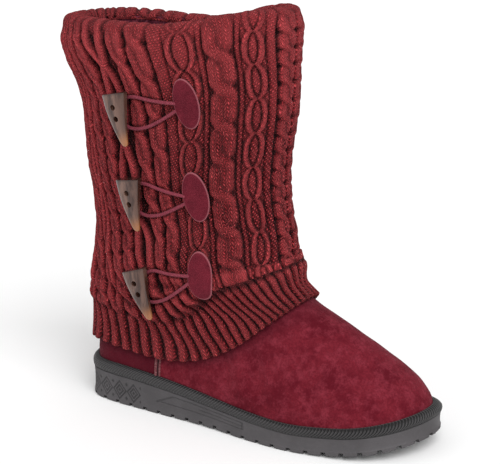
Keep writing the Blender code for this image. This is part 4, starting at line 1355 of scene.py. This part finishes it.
for n, (patchPlace, patchHeight, togglePlace, toggleHeight, lean) in enumerate(fasteningSpots(), 1):
    disc = patchDisc(patchPlace, patchHeight)
    finished(f"patch{n}", disc, patchFinish, (f"patch_{n}",), 50)
    loop = cordLoop(patchPlace, patchHeight, togglePlace, toggleHeight)
    finished(f"cordLoop{n}", loop, cordFinish, (f"loop_{n}",))
    bm, drills = hornToggle(togglePlace, toggleHeight, lean)
    drilled(finished(f"hornToggle{n}", bm, horn, (f"toggle_{n}",), 40), drills)
print("fastenings are made")


# Side seams: a piping with its groove, at the back edge of the vamp
piping = {
    "width": 0.0040,
    "thickness": 0.0013,
    "height": 0.026,
    "rows": 20,
    "colour": colour(98, 44, 50),
    "light": colour(150, 108, 108),
    "groove": colour(40, 8, 16),
}
pipingFinish = Finish("seamPiping", Roughness=0.85, Specular_IOR_Level=0.25)
thread = pipingFinish.mottle(0.4, 0.7, 900.0, 2.0, 0.6)
tone = pipingFinish.layers(
    piping["colour"],
    (thread * 0.6, piping["light"]),
    (pipingFinish.attribute("groove"), piping["groove"]),
)
pipingFinish.wear("Base Color", tone)
pipingFinish.bump(thread, 0.0004, 0.8)


def seamPiping(side):
    section = (
        # along its width, out, groove
        (-0.62, -0.1, 0.0), (-0.5, 0.30, 0.0), (-0.36, 0.85, 0.0), (-0.15, 1.0, 0.0), (0.08, 0.85, 0.0),
        (0.2, 0.25, 1.0), (0.34, 0.05, 1.0), (0.46, 0.45, 0.6), (0.62, 0.55, 0.0), (0.80, -0.1, 0.0),
    )
    lifts = tapeHeight(suede["seamPlace"]) * 0.8 + np.linspace(0, piping["height"], piping["rows"] + 1)
    height = shareAboveSeat(suede["seamPlace"], lifts)
    back = readRows(sectionRows, height, 1) * boot["soleLength"]
    length = readRows(sectionRows, height, 2, 3)
    rows, grooves = [], []
    for along, out, groove in section:
        place = suede["seamPlace"] + along * piping["width"]
        turn = -side * np.arccos(1 - 2 * (place - back) / length)
        rows.append(upperPoint(height, turn, 0.0002 + out * piping["thickness"]))
        grooves.append(np.full(height.shape, groove))
    return wrappedGrid(piping["rows"], len(rows) - 1, np.array(rows), closed=False, flip=side < 0,
                       marks={"groove": np.array(grooves)})


finished("seamPipingOuter", seamPiping(-1), pipingFinish, ("side_seam_lateral",))
finished("seamPipingInner", seamPiping(1), pipingFinish, ("side_seam_medial",))
print("seams are made")
